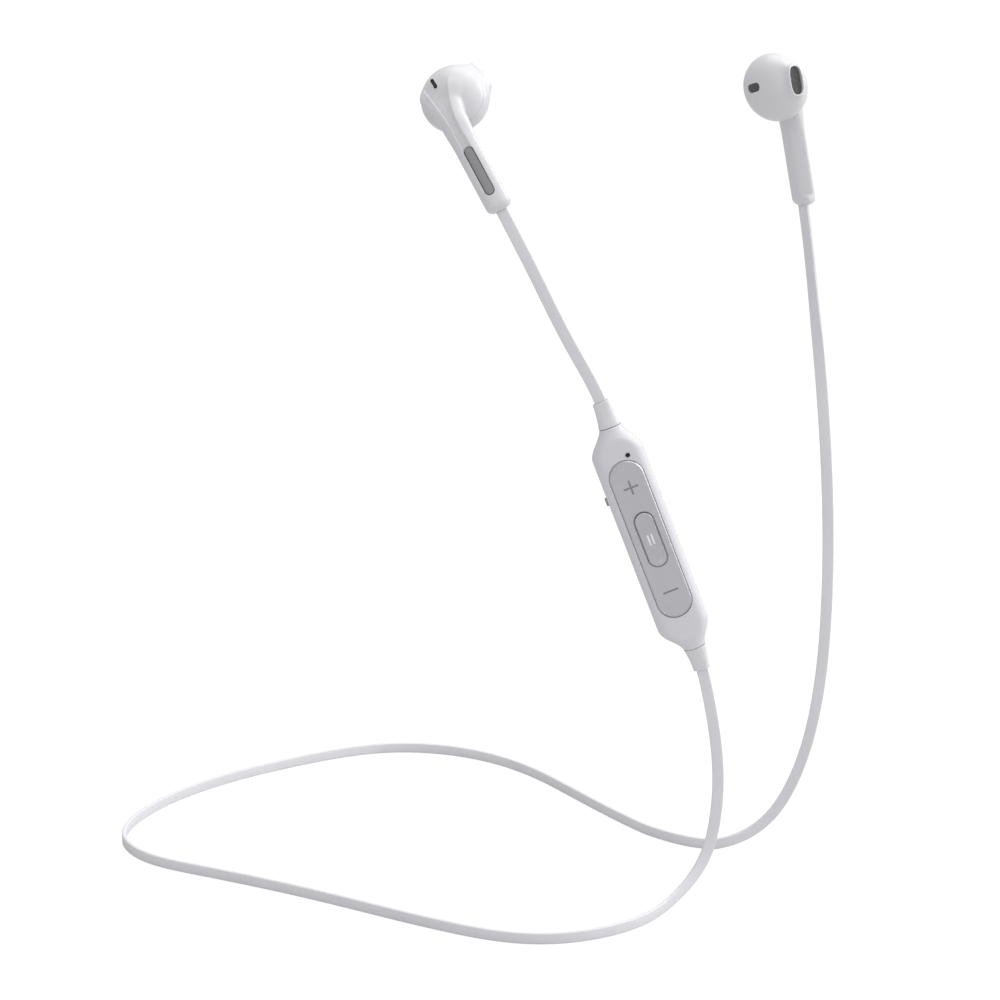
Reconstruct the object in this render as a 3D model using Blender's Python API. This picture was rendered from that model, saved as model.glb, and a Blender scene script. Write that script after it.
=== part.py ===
# Neckband earphones: an in-line control pod, a flat ribbon cable and two earbuds.
# The pod hangs at the front (-Y), the cable loops over the ground behind it, and both
# earbuds stand in the air. Sizes are millimetres and meshes are written in metres,
# +Z up, with the origin on the ground under the middle of the object.
import bpy
import bmesh
import math
import numpy as np
from mathutils import Matrix, Vector

for old in list(bpy.data.objects):
    bpy.data.objects.remove(old, do_unlink=True)

MM = 0.001
ORIGIN_SHIFT = Vector((0.435, 2.765, 0.0))   # puts the bounding box's bottom centre on the origin
SEAM_GAP = 0.2                               # between the two halves of any casing
IDENTITY = Matrix.Identity(4)

# ------------------------------------------------------------------ materials


def make_material(name, colour, roughness, metallic=0.0):
    material = bpy.data.materials.new(name)
    material.use_nodes = True
    inputs = material.node_tree.nodes["Principled BSDF"].inputs
    inputs["Base Color"].default_value = (*colour, 1.0)
    inputs["Roughness"].default_value = roughness
    inputs["Metallic"].default_value = metallic
    return material


WHITE_GLOSS = make_material("white_gloss_shell", colour=(0.86, 0.86, 0.88), roughness=0.25)
WHITE_SATIN = make_material("white_satin_casing", colour=(0.84, 0.84, 0.86), roughness=0.4)
WHITE_SOFT = make_material("white_soft_cable", colour=(0.82, 0.82, 0.83), roughness=0.55)
SILVER_KEY = make_material("silver_key_plate", colour=(0.55, 0.55, 0.58), roughness=0.35,
                           metallic=0.5)
GREY_INLAY = make_material("grey_inlay", colour=(0.25, 0.25, 0.26), roughness=0.4, metallic=0.3)
DARK_MESH = make_material("dark_mesh", colour=(0.06, 0.06, 0.06), roughness=0.6, metallic=0.4)
BOARD_GREEN = make_material("board_laminate", colour=(0.03, 0.18, 0.08), roughness=0.5)
CHIP_BLACK = make_material("chip_black", colour=(0.03, 0.03, 0.03), roughness=0.5)
STEEL = make_material("spring_steel", colour=(0.6, 0.6, 0.6), roughness=0.3, metallic=1.0)
CELL_FOIL = make_material("cell_foil", colour=(0.65, 0.65, 0.67), roughness=0.35, metallic=0.9)
RUBBER = make_material("black_rubber", colour=(0.04, 0.04, 0.04), roughness=0.8)
MAGNET = make_material("magnet_nickel", colour=(0.5, 0.5, 0.5), roughness=0.3, metallic=1.0)
FILM = make_material("driver_film", colour=(0.75, 0.72, 0.6), roughness=0.3)
COPPER = make_material("coil_copper", colour=(0.72, 0.35, 0.16), roughness=0.35, metallic=1.0)

# ------------------------------------------------------------------ outlines


def pill(length, width, arc_steps=8, centre=(0.0, 0.0)):
    """Stadium outline, long along its first axis."""
    radius = width / 2.0
    straight = length / 2.0 - radius
    outline = []
    for side in (1, -1):
        for i in range(arc_steps + 1):
            angle = -math.pi / 2 + math.pi * i / arc_steps
            outline.append((centre[0] + side * (straight + radius * math.cos(angle)),
                            centre[1] + side * radius * math.sin(angle)))
    return outline


def rounded_rect(width, height, radius, arc_steps=3, centre=(0.0, 0.0)):
    outline = []
    for side_x, side_y, start in ((1, 1, 0), (-1, 1, 90), (-1, -1, 180), (1, -1, 270)):
        for i in range(arc_steps + 1):
            angle = math.radians(start + 90.0 * i / arc_steps)
            outline.append((
                centre[0] + side_x * (width / 2 - radius) + radius * math.cos(angle),
                centre[1] + side_y * (height / 2 - radius) + radius * math.sin(angle)))
    return outline


def circle(radius, count, centre, start=0.0):
    angles = [2 * math.pi * i / count + start for i in range(count)]
    return [(centre[0] + radius * math.cos(angle), centre[1] + radius * math.sin(angle))
            for angle in angles]


def oval(half_a, half_b, count=16, power=0.75):
    """Superellipse: power 1 is an ellipse, and a smaller power is squarer."""
    outline = []
    for i in range(count):
        angle = 2 * math.pi * (i + 0.5) / count
        cosine, sine = math.cos(angle), math.sin(angle)
        outline.append((half_a * math.copysign(abs(cosine) ** power, cosine),
                        half_b * math.copysign(abs(sine) ** power, sine)))
    return outline


# ------------------------------------------------------------------ meshes


def mesh_from(verts, faces):
    mesh = bpy.data.meshes.new("piece")
    mesh.from_pydata([tuple(float(value) for value in vert) for vert in verts], [], faces)
    mesh.update()
    edit = bmesh.new()
    edit.from_mesh(mesh)
    bmesh.ops.recalc_face_normals(edit, faces=edit.faces)
    edit.to_mesh(mesh)
    edit.free()
    return mesh


def band(start, other, count):
    """Quads between two rings of vertices that begin at the given indices."""
    return [(start + j, start + (j + 1) % count, other + (j + 1) % count, other + j)
            for j in range(count)]


def loft(rings, around=False):
    """Skin equal rings; ends are capped, or the last ring meets the first."""
    count = len(rings[0])
    verts = [point for ring in rings for point in ring]
    faces = []
    for i in range(len(rings) if around else len(rings) - 1):
        faces += band(i * count, ((i + 1) % len(rings)) * count, count)
    if not around:
        faces.append(tuple(range(count)))
        faces.append(tuple(range(len(verts) - count, len(verts))))
    return mesh_from(verts, faces)


def bowl(outer, inner):
    """Walled bowl: the first rings of both skins meet at the rim, the last are capped."""
    count = len(outer[0])
    verts, faces = [], []
    for skin in (outer, inner):
        base = len(verts)
        for ring in skin:
            verts.extend(ring)
        for i in range(len(skin) - 1):
            faces += band(base + i * count, base + (i + 1) * count, count)
        faces.append(tuple(range(len(verts) - count, len(verts))))
    faces += band(0, len(outer) * count, count)
    return mesh_from(verts, faces)


def prism(outline, z):
    """Outline in x and y, extruded over the z range."""
    return loft([[(point[0], point[1], level) for point in outline] for level in z])


def box(x, y, z):
    """Box from its range along each axis."""
    return prism([(x[0], y[0]), (x[1], y[0]), (x[1], y[1]), (x[0], y[1])], z)


def oriented_prism(outline, centre, axes, span):
    """Outline along the first two axes, extruded over a span of the third."""
    first, second, normal = axes
    return loft([[centre + first * point[0] + second * point[1] + normal * level
                  for point in outline] for level in span])


def turned(profile, segments, axis="z", hollow=False):
    """(radius, height) profile about an axis, capped at its ends or closed into a ring."""
    rings = []
    for radius, height in profile:
        ring = []
        for i in range(segments):
            angle = 2 * math.pi * i / segments
            first, second = radius * math.cos(angle), radius * math.sin(angle)
            ring.append((first, second, height) if axis == "z" else (first, height, second))
        rings.append(ring)
    return loft(rings, around=hollow)


def moved(mesh, matrix):
    mesh = mesh.copy()
    mesh.transform(matrix)
    return mesh


SWAP_Y_Z = Matrix(((1, 0, 0, 0), (0, 0, 1, 0), (0, 1, 0, 0), (0, 0, 0, 1)))


def upright(mesh):
    """Swap y and z, so a piece extruded along z runs along y."""
    mesh = moved(mesh, SWAP_Y_Z)
    mesh.flip_normals()
    return mesh


def boolean(body_mesh, cutter_mesh, operation):
    body = bpy.data.objects.new("body", body_mesh)
    cutter = bpy.data.objects.new("cutter", cutter_mesh)
    bpy.context.scene.collection.objects.link(body)
    bpy.context.scene.collection.objects.link(cutter)
    modifier = body.modifiers.new("cut", "BOOLEAN")
    modifier.operation = operation
    modifier.solver = "EXACT"
    modifier.object = cutter
    depsgraph = bpy.context.evaluated_depsgraph_get()
    depsgraph.update()
    result = bpy.data.meshes.new_from_object(body.evaluated_get(depsgraph))
    bpy.data.objects.remove(body, do_unlink=True)
    bpy.data.objects.remove(cutter, do_unlink=True)
    return result


def cut(body, cutter):
    return boolean(body, cutter, "DIFFERENCE")


def join(body, addition):
    return boolean(body, addition, "UNION")


def keep(body, region):
    return boolean(body, region, "INTERSECT")


# ------------------------------------------------------------------ placing

WORLD = {}      # world matrix of every empty, in metres


def frame_matrix(x, y, z, origin):
    matrix = Matrix.Identity(4)
    for column, axis in enumerate((x, y, z, origin)):
        for row in range(3):
            matrix[row][column] = axis[row]
    return matrix


def add_empty(name, matrix, parent=None):
    """Empty at a frame given in millimetres."""
    empty = bpy.data.objects.new(name, None)
    empty.empty_display_size = 0.006
    bpy.context.scene.collection.objects.link(empty)
    world = matrix.copy()
    for row in range(3):
        world[row][3] = (matrix[row][3] + ORIGIN_SHIFT[row]) * MM
    WORLD[name] = world
    if parent is None:
        empty.matrix_basis = world
    else:
        empty.parent = parent
        empty.matrix_basis = WORLD[parent.name].inverted() @ world
    return empty


def joint_empty(name, point, axis, parent):
    """Empty on a joint's axis, its Z along the axis."""
    z = Vector(axis).normalized()
    x = z.orthogonal().normalized()
    return add_empty(name, frame_matrix(x, z.cross(x), z, Vector(point)), parent)


def add(name, mesh, material, parent, space=IDENTITY, sharp=35.0):
    """Put a mesh given in millimetres of `space` into the scene under `parent`.
    Edges steeper than `sharp` degrees are shaded as creases."""
    mesh = moved(mesh, space)
    mesh.transform(Matrix.Diagonal((MM, MM, MM, 1.0)) @ Matrix.Translation(ORIGIN_SHIFT))
    mesh.transform(WORLD[parent.name].inverted())
    mesh.name = name
    mesh.materials.clear()
    mesh.materials.append(material)
    mesh.shade_smooth()
    mesh.set_sharp_from_angle(angle=math.radians(sharp))
    piece = bpy.data.objects.new(name, mesh)
    bpy.context.scene.collection.objects.link(piece)
    piece.parent = parent


def smoothstep(fraction):
    fraction = min(max(fraction, 0.0), 1.0)
    return fraction * fraction * (3 - 2 * fraction)


# ------------------------------------------------------------------ control pod: frame and sizes
# Local axes: x down the pod from its upper end, y across it towards world +X,
# z out of its face.

POD_TOP = Vector((36.73, -48.0, 134.01))
POD_X = Vector((0.3590, 0.0, -0.9333)).normalized()
POD_YAW = math.radians(2.7)
POD_ACROSS = Vector((-POD_X.z, 0.0, POD_X.x))       # across the pod before the yaw
POD_Z = (Vector((0.0, -1.0, 0.0)) * math.cos(POD_YAW)
         + POD_ACROSS * math.sin(POD_YAW)).normalized()
POD_Y = POD_Z.cross(POD_X).normalized()
POD_SPACE = frame_matrix(POD_X, POD_Y, POD_Z, POD_TOP)

POD_LENGTH = 64.5
POD_HALF_WIDTH = 7.0
POD_HALF_THICK = 4.0        # flat front and back
POD_REACH = 4.4             # half height the rounded section would have without its flats
POD_CENTRE_Y = -0.65        # middle of the straight body
POD_END_RADIUS = 3.05       # half width at the ends
POD_END_REACH = POD_END_RADIUS - 0.2
POD_SHOULDER = 7.6          # length over which each end widens
POD_WALL = 1.1
POD_SPLIT_Z = 1.2
POD_SIDES = 28              # points round a section
POD_END_STEPS = [0.0, 1.2, 2.6, 4.0, 5.4, 6.8, 8.0]     # sections, measured from either end
CAVITY_END_STEPS = [4.2, 5.6, 7.2, 8.6]
PASSAGE_HALF = (2.6, 1.9)   # cable passage through each end: half sizes in y and z

PLATE_X = 31.6
PLATE_CENTRE = (PLATE_X, POD_CENTRE_Y)
PLATE_SLOT = (45.5, 9.7)    # length, width
PLATE_GAP = 0.3             # clearance all round the plate and the play button
PLATE_TOP = 4.25
PLATE_UNDER = 3.15
BUTTON_SLOT = (15.7, 5.4)
BUTTON_UNDER = 3.0
KEY_OFFSET = 15.1           # plus and minus keys from the plate's centre
PLUNGER_TIP_Z = 1.95        # lower end of the nubs that press the domes
TRUNNION_Z = 2.1            # axis the rocker tilts about
PIN_RADIUS = 0.42

MIC_CENTRE = (8.05, 1.6)
MIC_RADIUS = 0.57
GASKET_HOLE_RADIUS = 0.55

PORT_X = (17.7, 27.9)       # the cover's extent
PORT_Z = (-2.9, 0.5)
PORT_GAP = 0.25             # round the cover, except at its hinge
PORT_HINGE_GAP = 0.3
PORT_HINGE_X = PORT_X[1] + PORT_HINGE_GAP
PORT_MID_X = 0.5 * (PORT_X[0] + PORT_X[1])
PORT_MID_Z = 0.5 * (PORT_Z[0] + PORT_Z[1])
COVER_THICK = 0.85
COVER_STEPS = 7
SOCKET_SIZE = (7.4, 2.4)    # along x and z
SOCKET_WALL = 0.3

BOARD_MID_X = 32.0
BOARD_SIZE = (48.5, 10.2)
BOARD_Z = (0.2, 1.0)
BATTERY_MID_X = 43.6
BATTERY_SIZE = (25.5, 8.6)
BATTERY_Z = (-2.6, -0.1)
# name, x range, half width about the pod's middle, z range, material
INNER_BOXES = (
    ("radio_chip", (22.0, 26.6), 2.3, (1.2, 1.95), CHIP_BLACK),
    ("chip_antenna", (52.6, 54.2), 1.6, (1.2, 2.0), WHITE_SATIN),
    ("battery_tab", (29.4, 30.5), 1.4, (-1.6, 0.0), STEEL),
)
DOME_PROFILE = [(2.0, 1.15), (2.0, 1.25), (1.5, 1.42), (0.8, 1.52)]     # radius, z


def about(middle, half):
    return (middle - half, middle + half)


def beside(side, near, far):
    """y range on one side of the pod's middle."""
    return sorted((POD_CENTRE_Y + side * near, POD_CENTRE_Y + side * far))


def on_plate(offset=0.0):
    """Moves a turned piece to the plate's middle line."""
    return Matrix.Translation((PLATE_X + offset, POD_CENTRE_Y, 0.0))


def plate_outline(slot):
    """Outline of the piece that sits in a slot with clearance all round."""
    return pill(slot[0] - 2 * PLATE_GAP, slot[1] - 2 * PLATE_GAP, centre=PLATE_CENTRE)


# ------------------------------------------------------------------ control pod: casing


def shoulder(x):
    """0 at either end of the pod, 1 along its straight body."""
    depth = min(max(min(x, POD_LENGTH - x) / POD_SHOULDER, 0.0), 1.0)
    return 0.8 * smoothstep(depth) + 0.2 * (1 - (1 - depth) ** 2)


def pod_section(x, inset=0.0):
    fullness = shoulder(x)
    half_y = POD_END_RADIUS + (POD_HALF_WIDTH - POD_END_RADIUS) * fullness - inset
    half_z = POD_END_REACH + (POD_REACH - POD_END_REACH) * fullness - inset
    flat = POD_HALF_THICK - inset
    outline = oval(half_y, half_z, POD_SIDES, 2.0 / (2.0 + fullness))
    return [(x, POD_CENTRE_Y * fullness + y, min(max(z, -flat), flat)) for y, z in outline]


def passage_section(x):
    return [(x, y, z) for y, z in oval(*PASSAGE_HALF, POD_SIDES, 0.7)]


def from_both_ends(steps):
    return steps + [POD_LENGTH - x for x in reversed(steps)]


def hollow_casing():
    cavity = [passage_section(-2.0), passage_section(3.0)]
    cavity += [pod_section(x, POD_WALL) for x in from_both_ends(CAVITY_END_STEPS)]
    cavity += [passage_section(POD_LENGTH - 3.0), passage_section(POD_LENGTH + 2.0)]
    return cut(loft([pod_section(x) for x in from_both_ends(POD_END_STEPS)]), loft(cavity))


def casing_part(casing, z):
    """The part of the casing in a z range; the box is oversize in x and y."""
    return keep(casing, box((-5, POD_LENGTH + 5), (-30.0, 30.0), z))


def front_casing(casing):
    """Front half, with the plate's slot and the microphone hole."""
    front = casing_part(casing, (POD_SPLIT_Z + SEAM_GAP / 2, 30.0))
    through = (2.0, 8.0)
    front = cut(front, prism(pill(*PLATE_SLOT, centre=PLATE_CENTRE), through))
    return cut(front, prism(circle(MIC_RADIUS, 12, MIC_CENTRE), through))


def rear_casing(casing):
    """Rear half, with the opening the port cover fills in its -y side."""
    rear = casing_part(casing, (-30.0, POD_SPLIT_Z - SEAM_GAP / 2))
    return cut(rear, box((PORT_X[0] - PORT_GAP, PORT_HINGE_X), (-12.0, -5.0),
                         (PORT_Z[0] - PORT_GAP, PORT_Z[1] + PORT_GAP)))


# ------------------------------------------------------------------ control pod: inside


def circuit_board():
    return prism(rounded_rect(*BOARD_SIZE, 1.2, centre=(BOARD_MID_X, POD_CENTRE_Y)), BOARD_Z)


def battery():
    return prism(rounded_rect(*BATTERY_SIZE, 1.0, centre=(BATTERY_MID_X, POD_CENTRE_Y)),
                 BATTERY_Z)


def switch_dome(offset):
    return moved(turned(DOME_PROFILE, 16), on_plate(offset))


def microphone_capsule():
    mic_y = MIC_CENTRE[1]
    return box((8.3, 10.4), (mic_y - 1.4, mic_y + 1.0), (1.2, 2.1))


def microphone_gasket():
    mic_y = MIC_CENTRE[1]
    block = box((7.2, 8.95), (mic_y - 1.2, mic_y + 0.9), (2.25, 2.75))
    return cut(block, prism(circle(GASKET_HOLE_RADIUS, 12, MIC_CENTRE), (1.8, 3.2)))


def rocker_yoke():
    """Frame round the play switch, with a notched post each side for the rocker's pins."""
    yoke = cut(box(about(PLATE_X, 4.2), about(POD_CENTRE_Y, 4.9), (1.15, 1.45)),
               box(about(PLATE_X, 3.4), about(POD_CENTRE_Y, 4.2), (0.8, 2.0)))
    for side in (-1, 1):
        low, high = beside(side, 4.0, 4.6)
        post = box(about(PLATE_X, 1.3), (low, high), (1.3, 2.45))
        notch = box(about(PLATE_X, 0.62), (low - 1, high + 1), (TRUNNION_Z - 0.6, 4.0))
        yoke = join(yoke, cut(post, notch))
    return yoke


def charge_socket():
    """Rounded tube, open to the pod's -y side and closed at its inner end."""
    middle = (PORT_MID_X, PORT_MID_Z)
    bore = [size - 2 * SOCKET_WALL for size in SOCKET_SIZE]
    return upright(cut(prism(rounded_rect(*SOCKET_SIZE, 0.5, centre=middle), (-5.6, -0.9)),
                       prism(rounded_rect(*bore, 0.35, centre=middle), (-6.6, -1.4))))


def charge_tongue():
    return upright(box(about(PORT_MID_X, 2.3), (-1.35, -0.95), (-4.9, -1.7)))


# ------------------------------------------------------------------ control pod: moving parts


def rocker_plate():
    """Plate round the play button, with a foot, a pivot pin and a nub on each side."""
    plate = prism(plate_outline(PLATE_SLOT), (PLATE_UNDER, PLATE_TOP))
    plate = cut(plate, prism(pill(*BUTTON_SLOT, centre=PLATE_CENTRE), (2.0, 6.0)))
    root = PLATE_UNDER + 0.4        # feet and nubs run up into the plate
    for side in (-1, 1):
        plate = join(plate, box(about(PLATE_X, 0.7), beside(side, 2.85, 3.7),
                                (TRUNNION_Z - 0.5, root)))
        pin = prism(circle(PIN_RADIUS, 10, (PLATE_X, TRUNNION_Z), start=0.3),
                    beside(side, 3.4, 4.72))
        plate = join(plate, upright(pin))
        nub = turned([(0.9, PLUNGER_TIP_Z), (1.1, 2.2), (1.1, root)], 14)
        plate = join(plate, moved(nub, on_plate(side * KEY_OFFSET)))
    return plate


def play_button():
    button = prism(plate_outline(BUTTON_SLOT), (BUTTON_UNDER, PLATE_TOP))
    plunger = turned([(1.0, PLUNGER_TIP_Z), (1.2, 2.15), (1.2, BUTTON_UNDER + 0.3)], 14)
    return join(button, moved(plunger, on_plate()))


def side_wall_y(z):
    """The -y side of the pod's straight body at height z."""
    return POD_CENTRE_Y - POD_HALF_WIDTH * (1 - (abs(z) / POD_REACH) ** 3) ** (1 / 3.0)


def port_cover():
    """Curved flap that follows the side wall, with a lip near its upper end."""
    heights = [PORT_Z[0] + (PORT_Z[1] - PORT_Z[0]) * i / COVER_STEPS
               for i in range(COVER_STEPS + 1)]
    rings = []
    for x in PORT_X:
        outer = [(x, side_wall_y(z), z) for z in heights]
        rings.append(outer + [(x, y + COVER_THICK, z) for x, y, z in reversed(outer)])
    wall = side_wall_y(0.0)
    return join(loft(rings), box((18.0, 20.2), (wall - 0.6, wall + 0.5), (-1.6, -0.3)))


def build_pod():
    pod = add_empty("control_pod", POD_SPACE)

    def put(name, mesh, material, parent=pod):
        add(name, mesh, material, parent, POD_SPACE)

    def joint(name, point, axis):
        return joint_empty(name, POD_SPACE @ Vector(point), axis, pod)

    casing = hollow_casing()
    put("pod_front_casing", front_casing(casing), WHITE_SATIN)
    put("pod_rear_casing", rear_casing(casing), WHITE_SATIN)
    put("main_circuit_board", circuit_board(), BOARD_GREEN)
    for name, x_range, half_y, z_range, material in INNER_BOXES:
        put(name, box(x_range, about(POD_CENTRE_Y, half_y), z_range), material)
    put("battery_cell", battery(), CELL_FOIL)
    put("volume_up_dome", switch_dome(-KEY_OFFSET), STEEL)
    put("volume_down_dome", switch_dome(KEY_OFFSET), STEEL)
    put("play_dome", switch_dome(0.0), STEEL)
    put("microphone_capsule", microphone_capsule(), CHIP_BLACK)
    put("microphone_gasket", microphone_gasket(), RUBBER)
    put("rocker_yoke", rocker_yoke(), WHITE_SATIN)
    put("charge_socket_shell", charge_socket(), STEEL)
    put("charge_socket_tongue", charge_tongue(), CHIP_BLACK)

    tilt = joint("volume_rocker_tilt", (*PLATE_CENTRE, TRUNNION_Z), POD_Y)
    put("volume_rocker_plate", rocker_plate(), SILVER_KEY, tilt)
    press = joint("play_button_press", (*PLATE_CENTRE, PLATE_TOP), -POD_Z)
    put("play_button", play_button(), SILVER_KEY, press)
    swing = joint("port_cover_swing", (PORT_HINGE_X, side_wall_y(0.0), PORT_MID_Z), POD_Z)
    put("port_cover", port_cover(), WHITE_SOFT, swing)
    return pod


# ------------------------------------------------------------------ cable path

RIBBON_HALF_WIDTH = 1.55
RIBBON_HALF_THICK = 0.55
RIBBON_CHAMFER = 0.28
PIVOT_GAP = 0.85            # flat end of the next length, measured from the pivot
RIBBON_STEP = 7.0           # longest step between sections
PIVOT_DEGREES = (30, 60, 82)    # sections of the half round at a pivot
TWIST_GAP = 0.15            # from the twist joint to the ribbon on either side of it
SPLINE_STEPS = 16           # per span between path points
TANGENT_REACH = 0.8         # distance looked each way for the ribbon's direction

RIGHT_EXIT = (8.5, -42.9, 189.8)        # where the ribbon enters each stem's foot
LEFT_EXIT = (88.5, -22.0, 188.0)
RIGHT_STEM = Vector((-0.46, 0.374, 0.805)).normalized()     # up each stem
LEFT_STEM = Vector((-0.19, -0.08, 0.978)).normalized()
RIGHT_YAW = math.radians(-2.0)
LEFT_YAW = math.radians(47.0)
# where each earbud's outer face looks
RIGHT_OUTWARD = Vector((math.sin(RIGHT_YAW), -math.cos(RIGHT_YAW), 0.0))
LEFT_OUTWARD = Vector((math.sin(LEFT_YAW), math.cos(LEFT_YAW), 0.0))
POD_BOTTOM = POD_TOP + POD_X * POD_LENGTH


def stepped(point, direction, distance):
    return tuple(np.asarray(point, float) + np.asarray(direction) * distance)


ROOT_DEPTH = 4.5            # how far the ribbon reaches into the pod
TAIL_DEPTH = 8.0            # how far its path runs up a stem
GROUND = RIBBON_HALF_WIDTH  # centreline of a ribbon on edge on the ground

# Centreline points (x, y, z) from inside the pod to inside the stem. The second point
# is on the pod's end face and the third is at the end of the strain relief.
RIGHT_POINTS = [
    stepped(POD_TOP, POD_X, ROOT_DEPTH), tuple(POD_TOP), (34.2, -48.0, 140.5),
    (26.0, -47.9, 156.0), (17.9, -46.6, 171.9), RIGHT_EXIT,
    stepped(RIGHT_EXIT, RIGHT_STEM, TAIL_DEPTH)]
LEFT_POINTS = [
    stepped(POD_BOTTOM, -POD_X, ROOT_DEPTH), tuple(POD_BOTTOM), (62.0, -48.0, 67.4),
    (64.0, -48.0, 59.0), (67.0, -48.0, 36.0), (66.5, -48.0, 25.0), (63.0, -49.0, 12.0),
    (55.5, -54.0, 4.0), (43.5, -66.0, GROUND), (17.5, -75.5, GROUND), (-6.5, -67.5, GROUND),
    (-40.0, -48.0, GROUND), (-76.5, -29.0, GROUND), (-93.5, -18.5, GROUND),
    (-100.5, -6.0, GROUND), (-97.5, 13.5, GROUND), (-82.5, 36.0, GROUND),
    (-54.0, 58.5, GROUND), (-25.0, 70.0, GROUND), (2.5, 62.5, GROUND),
    (27.0, 35.5, GROUND), (50.5, 1.5, GROUND), (69.0, -10.0, GROUND), (81.5, -10.0, 6.5),
    (92.0, -11.0, 22.5), (97.0, -12.5, 43.0), (99.0, -14.5, 72.0), (98.0, -16.5, 108.0),
    (95.0, -18.5, 140.5), (91.5, -20.5, 168.0), LEFT_EXIT,
    stepped(LEFT_EXIT, LEFT_STEM, TAIL_DEPTH)]

# Where the wide face turns: start and end, as lengths along the run's whole centreline
RIGHT_TURN = (30.0, 55.0)   # to the right earbud's outer face
RISE = (55.0, 85.0)         # front riser turning into the ground loop
CLIMB = (552.0, 572.0)      # ground loop turning into the back riser
LEFT_TURN = (655.0, 693.0)  # to the left earbud's outer face

# Bend pivots, measured along the ribbon from the end of the pod's strain relief
RIGHT_BENDS = [10.0, 31.0]
LEFT_BENDS = [12.0, 66.0, 140.0, 215.0, 285.0, 355.0, 430.0, 505.0, 575.0, 640.0]


def natural_spline(points):
    """Natural cubic through the points, parameterised by chord length."""
    points = np.asarray(points, float)
    chords = np.linalg.norm(np.diff(points, axis=0), axis=1)
    count = len(points)
    system = np.zeros((count, count))
    slope_change = np.zeros((count, 3))
    system[0, 0] = system[-1, -1] = 1.0
    for i in range(1, count - 1):
        before, after = chords[i - 1], chords[i]
        system[i, i - 1:i + 2] = before, 2 * (before + after), after
        slope_change[i] = 6 * ((points[i + 1] - points[i]) / after
                               - (points[i] - points[i - 1]) / before)
    bend = np.linalg.solve(system, slope_change)
    path = []
    for i in range(count - 1):
        for k in range(SPLINE_STEPS):
            to = k / SPLINE_STEPS
            back = 1 - to
            curve = (back ** 3 - back) * bend[i] + (to ** 3 - to) * bend[i + 1]
            path.append(back * points[i] + to * points[i + 1] + curve * chords[i] ** 2 / 6)
    path.append(points[-1])
    return np.array(path)


class Run:
    """A ribbon run: centreline by arc length, with the direction its wide face looks."""

    def __init__(self, points, face):
        self.path = natural_spline(points)
        self.path[:, 2] = np.maximum(self.path[:, 2], GROUND)   # on the ground, never in it
        steps = np.linalg.norm(np.diff(self.path, axis=0), axis=1)
        self.arcs = np.concatenate(([0.0], np.cumsum(steps)))
        self.length = self.arcs[-1]
        self.face = face
        self.seam = self.arc_of(points[1])
        self.sleeve_end = self.arc_of(points[2])

    def at(self, arc):
        return np.array([np.interp(arc, self.arcs, self.path[:, k]) for k in range(3)])

    def tangent(self, arc):
        ahead = self.at(min(arc + TANGENT_REACH, self.length))
        step = ahead - self.at(max(arc - TANGENT_REACH, 0.0))
        return step / np.linalg.norm(step)

    def arc_of(self, point):
        distances = np.linalg.norm(self.path - np.asarray(point, float), axis=1)
        return float(self.arcs[np.argmin(distances)])

    def frame(self, arc):
        """Point, tangent, normal of the wide face, and direction across the width."""
        tangent = self.tangent(arc)
        normal = self.face(arc, tangent)
        normal = normal - tangent * float(np.dot(normal, tangent))
        normal /= np.linalg.norm(normal)
        return self.at(arc), tangent, normal, np.cross(tangent, normal)


def blend(first, second, arc, turn):
    """From the first direction to the second over a (start, end) turn."""
    weight = smoothstep((arc - turn[0]) / (turn[1] - turn[0]))
    return (1 - weight) * np.array(first) + weight * np.array(second)


def right_face(arc, tangent):
    """-Y, turning to the earbud's outer face as the ribbon reaches it."""
    return blend((0.0, -1.0, 0.0), RIGHT_OUTWARD, arc, RIGHT_TURN)


def left_face(arc, tangent):
    """-Y on the front riser, outward round the loop, +Y on the back riser,
    then the left earbud's outer face."""
    flat = np.array((-tangent[1], tangent[0], 0.0))
    size = np.linalg.norm(flat)
    flat = flat / size if size > 1e-6 else np.array((0.0, -1.0, 0.0))
    if arc < RISE[1]:
        return blend((0.0, -1.0, 0.0), flat, arc, RISE)
    if arc > CLIMB[0]:
        return blend(flat, blend((0.0, 1.0, 0.0), LEFT_OUTWARD, arc, LEFT_TURN), arc, CLIMB)
    return flat


RIGHT_RUN = Run(RIGHT_POINTS, right_face)
LEFT_RUN = Run(LEFT_POINTS, left_face)
RIGHT_TWIST = RIGHT_RUN.sleeve_end + 48.0           # arc length of each twist joint
LEFT_TWIST = LEFT_RUN.arc_of(LEFT_EXIT) - 8.0

# ------------------------------------------------------------------ cable pieces


def ribbon_outline(half_thick):
    """Chamfered rectangle: width, then thickness."""
    wide = RIBBON_HALF_WIDTH
    chamfer = min(RIBBON_CHAMFER, half_thick * 0.8)
    return [(wide, -half_thick + chamfer), (wide, half_thick - chamfer),
            (wide - chamfer, half_thick), (-wide + chamfer, half_thick),
            (-wide, half_thick - chamfer), (-wide, -half_thick + chamfer),
            (-wide + chamfer, -half_thick), (wide - chamfer, -half_thick)]


def ribbon_ring(run, arc, along=0.0, half_thick=RIBBON_HALF_THICK):
    point, tangent, normal, across = run.frame(arc)
    return [point + tangent * along + across * width + normal * thick
            for width, thick in ribbon_outline(half_thick)]


def ribbon_rings(run, start, end, count):
    return [ribbon_ring(run, start + (end - start) * i / count) for i in range(count + 1)]


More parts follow.
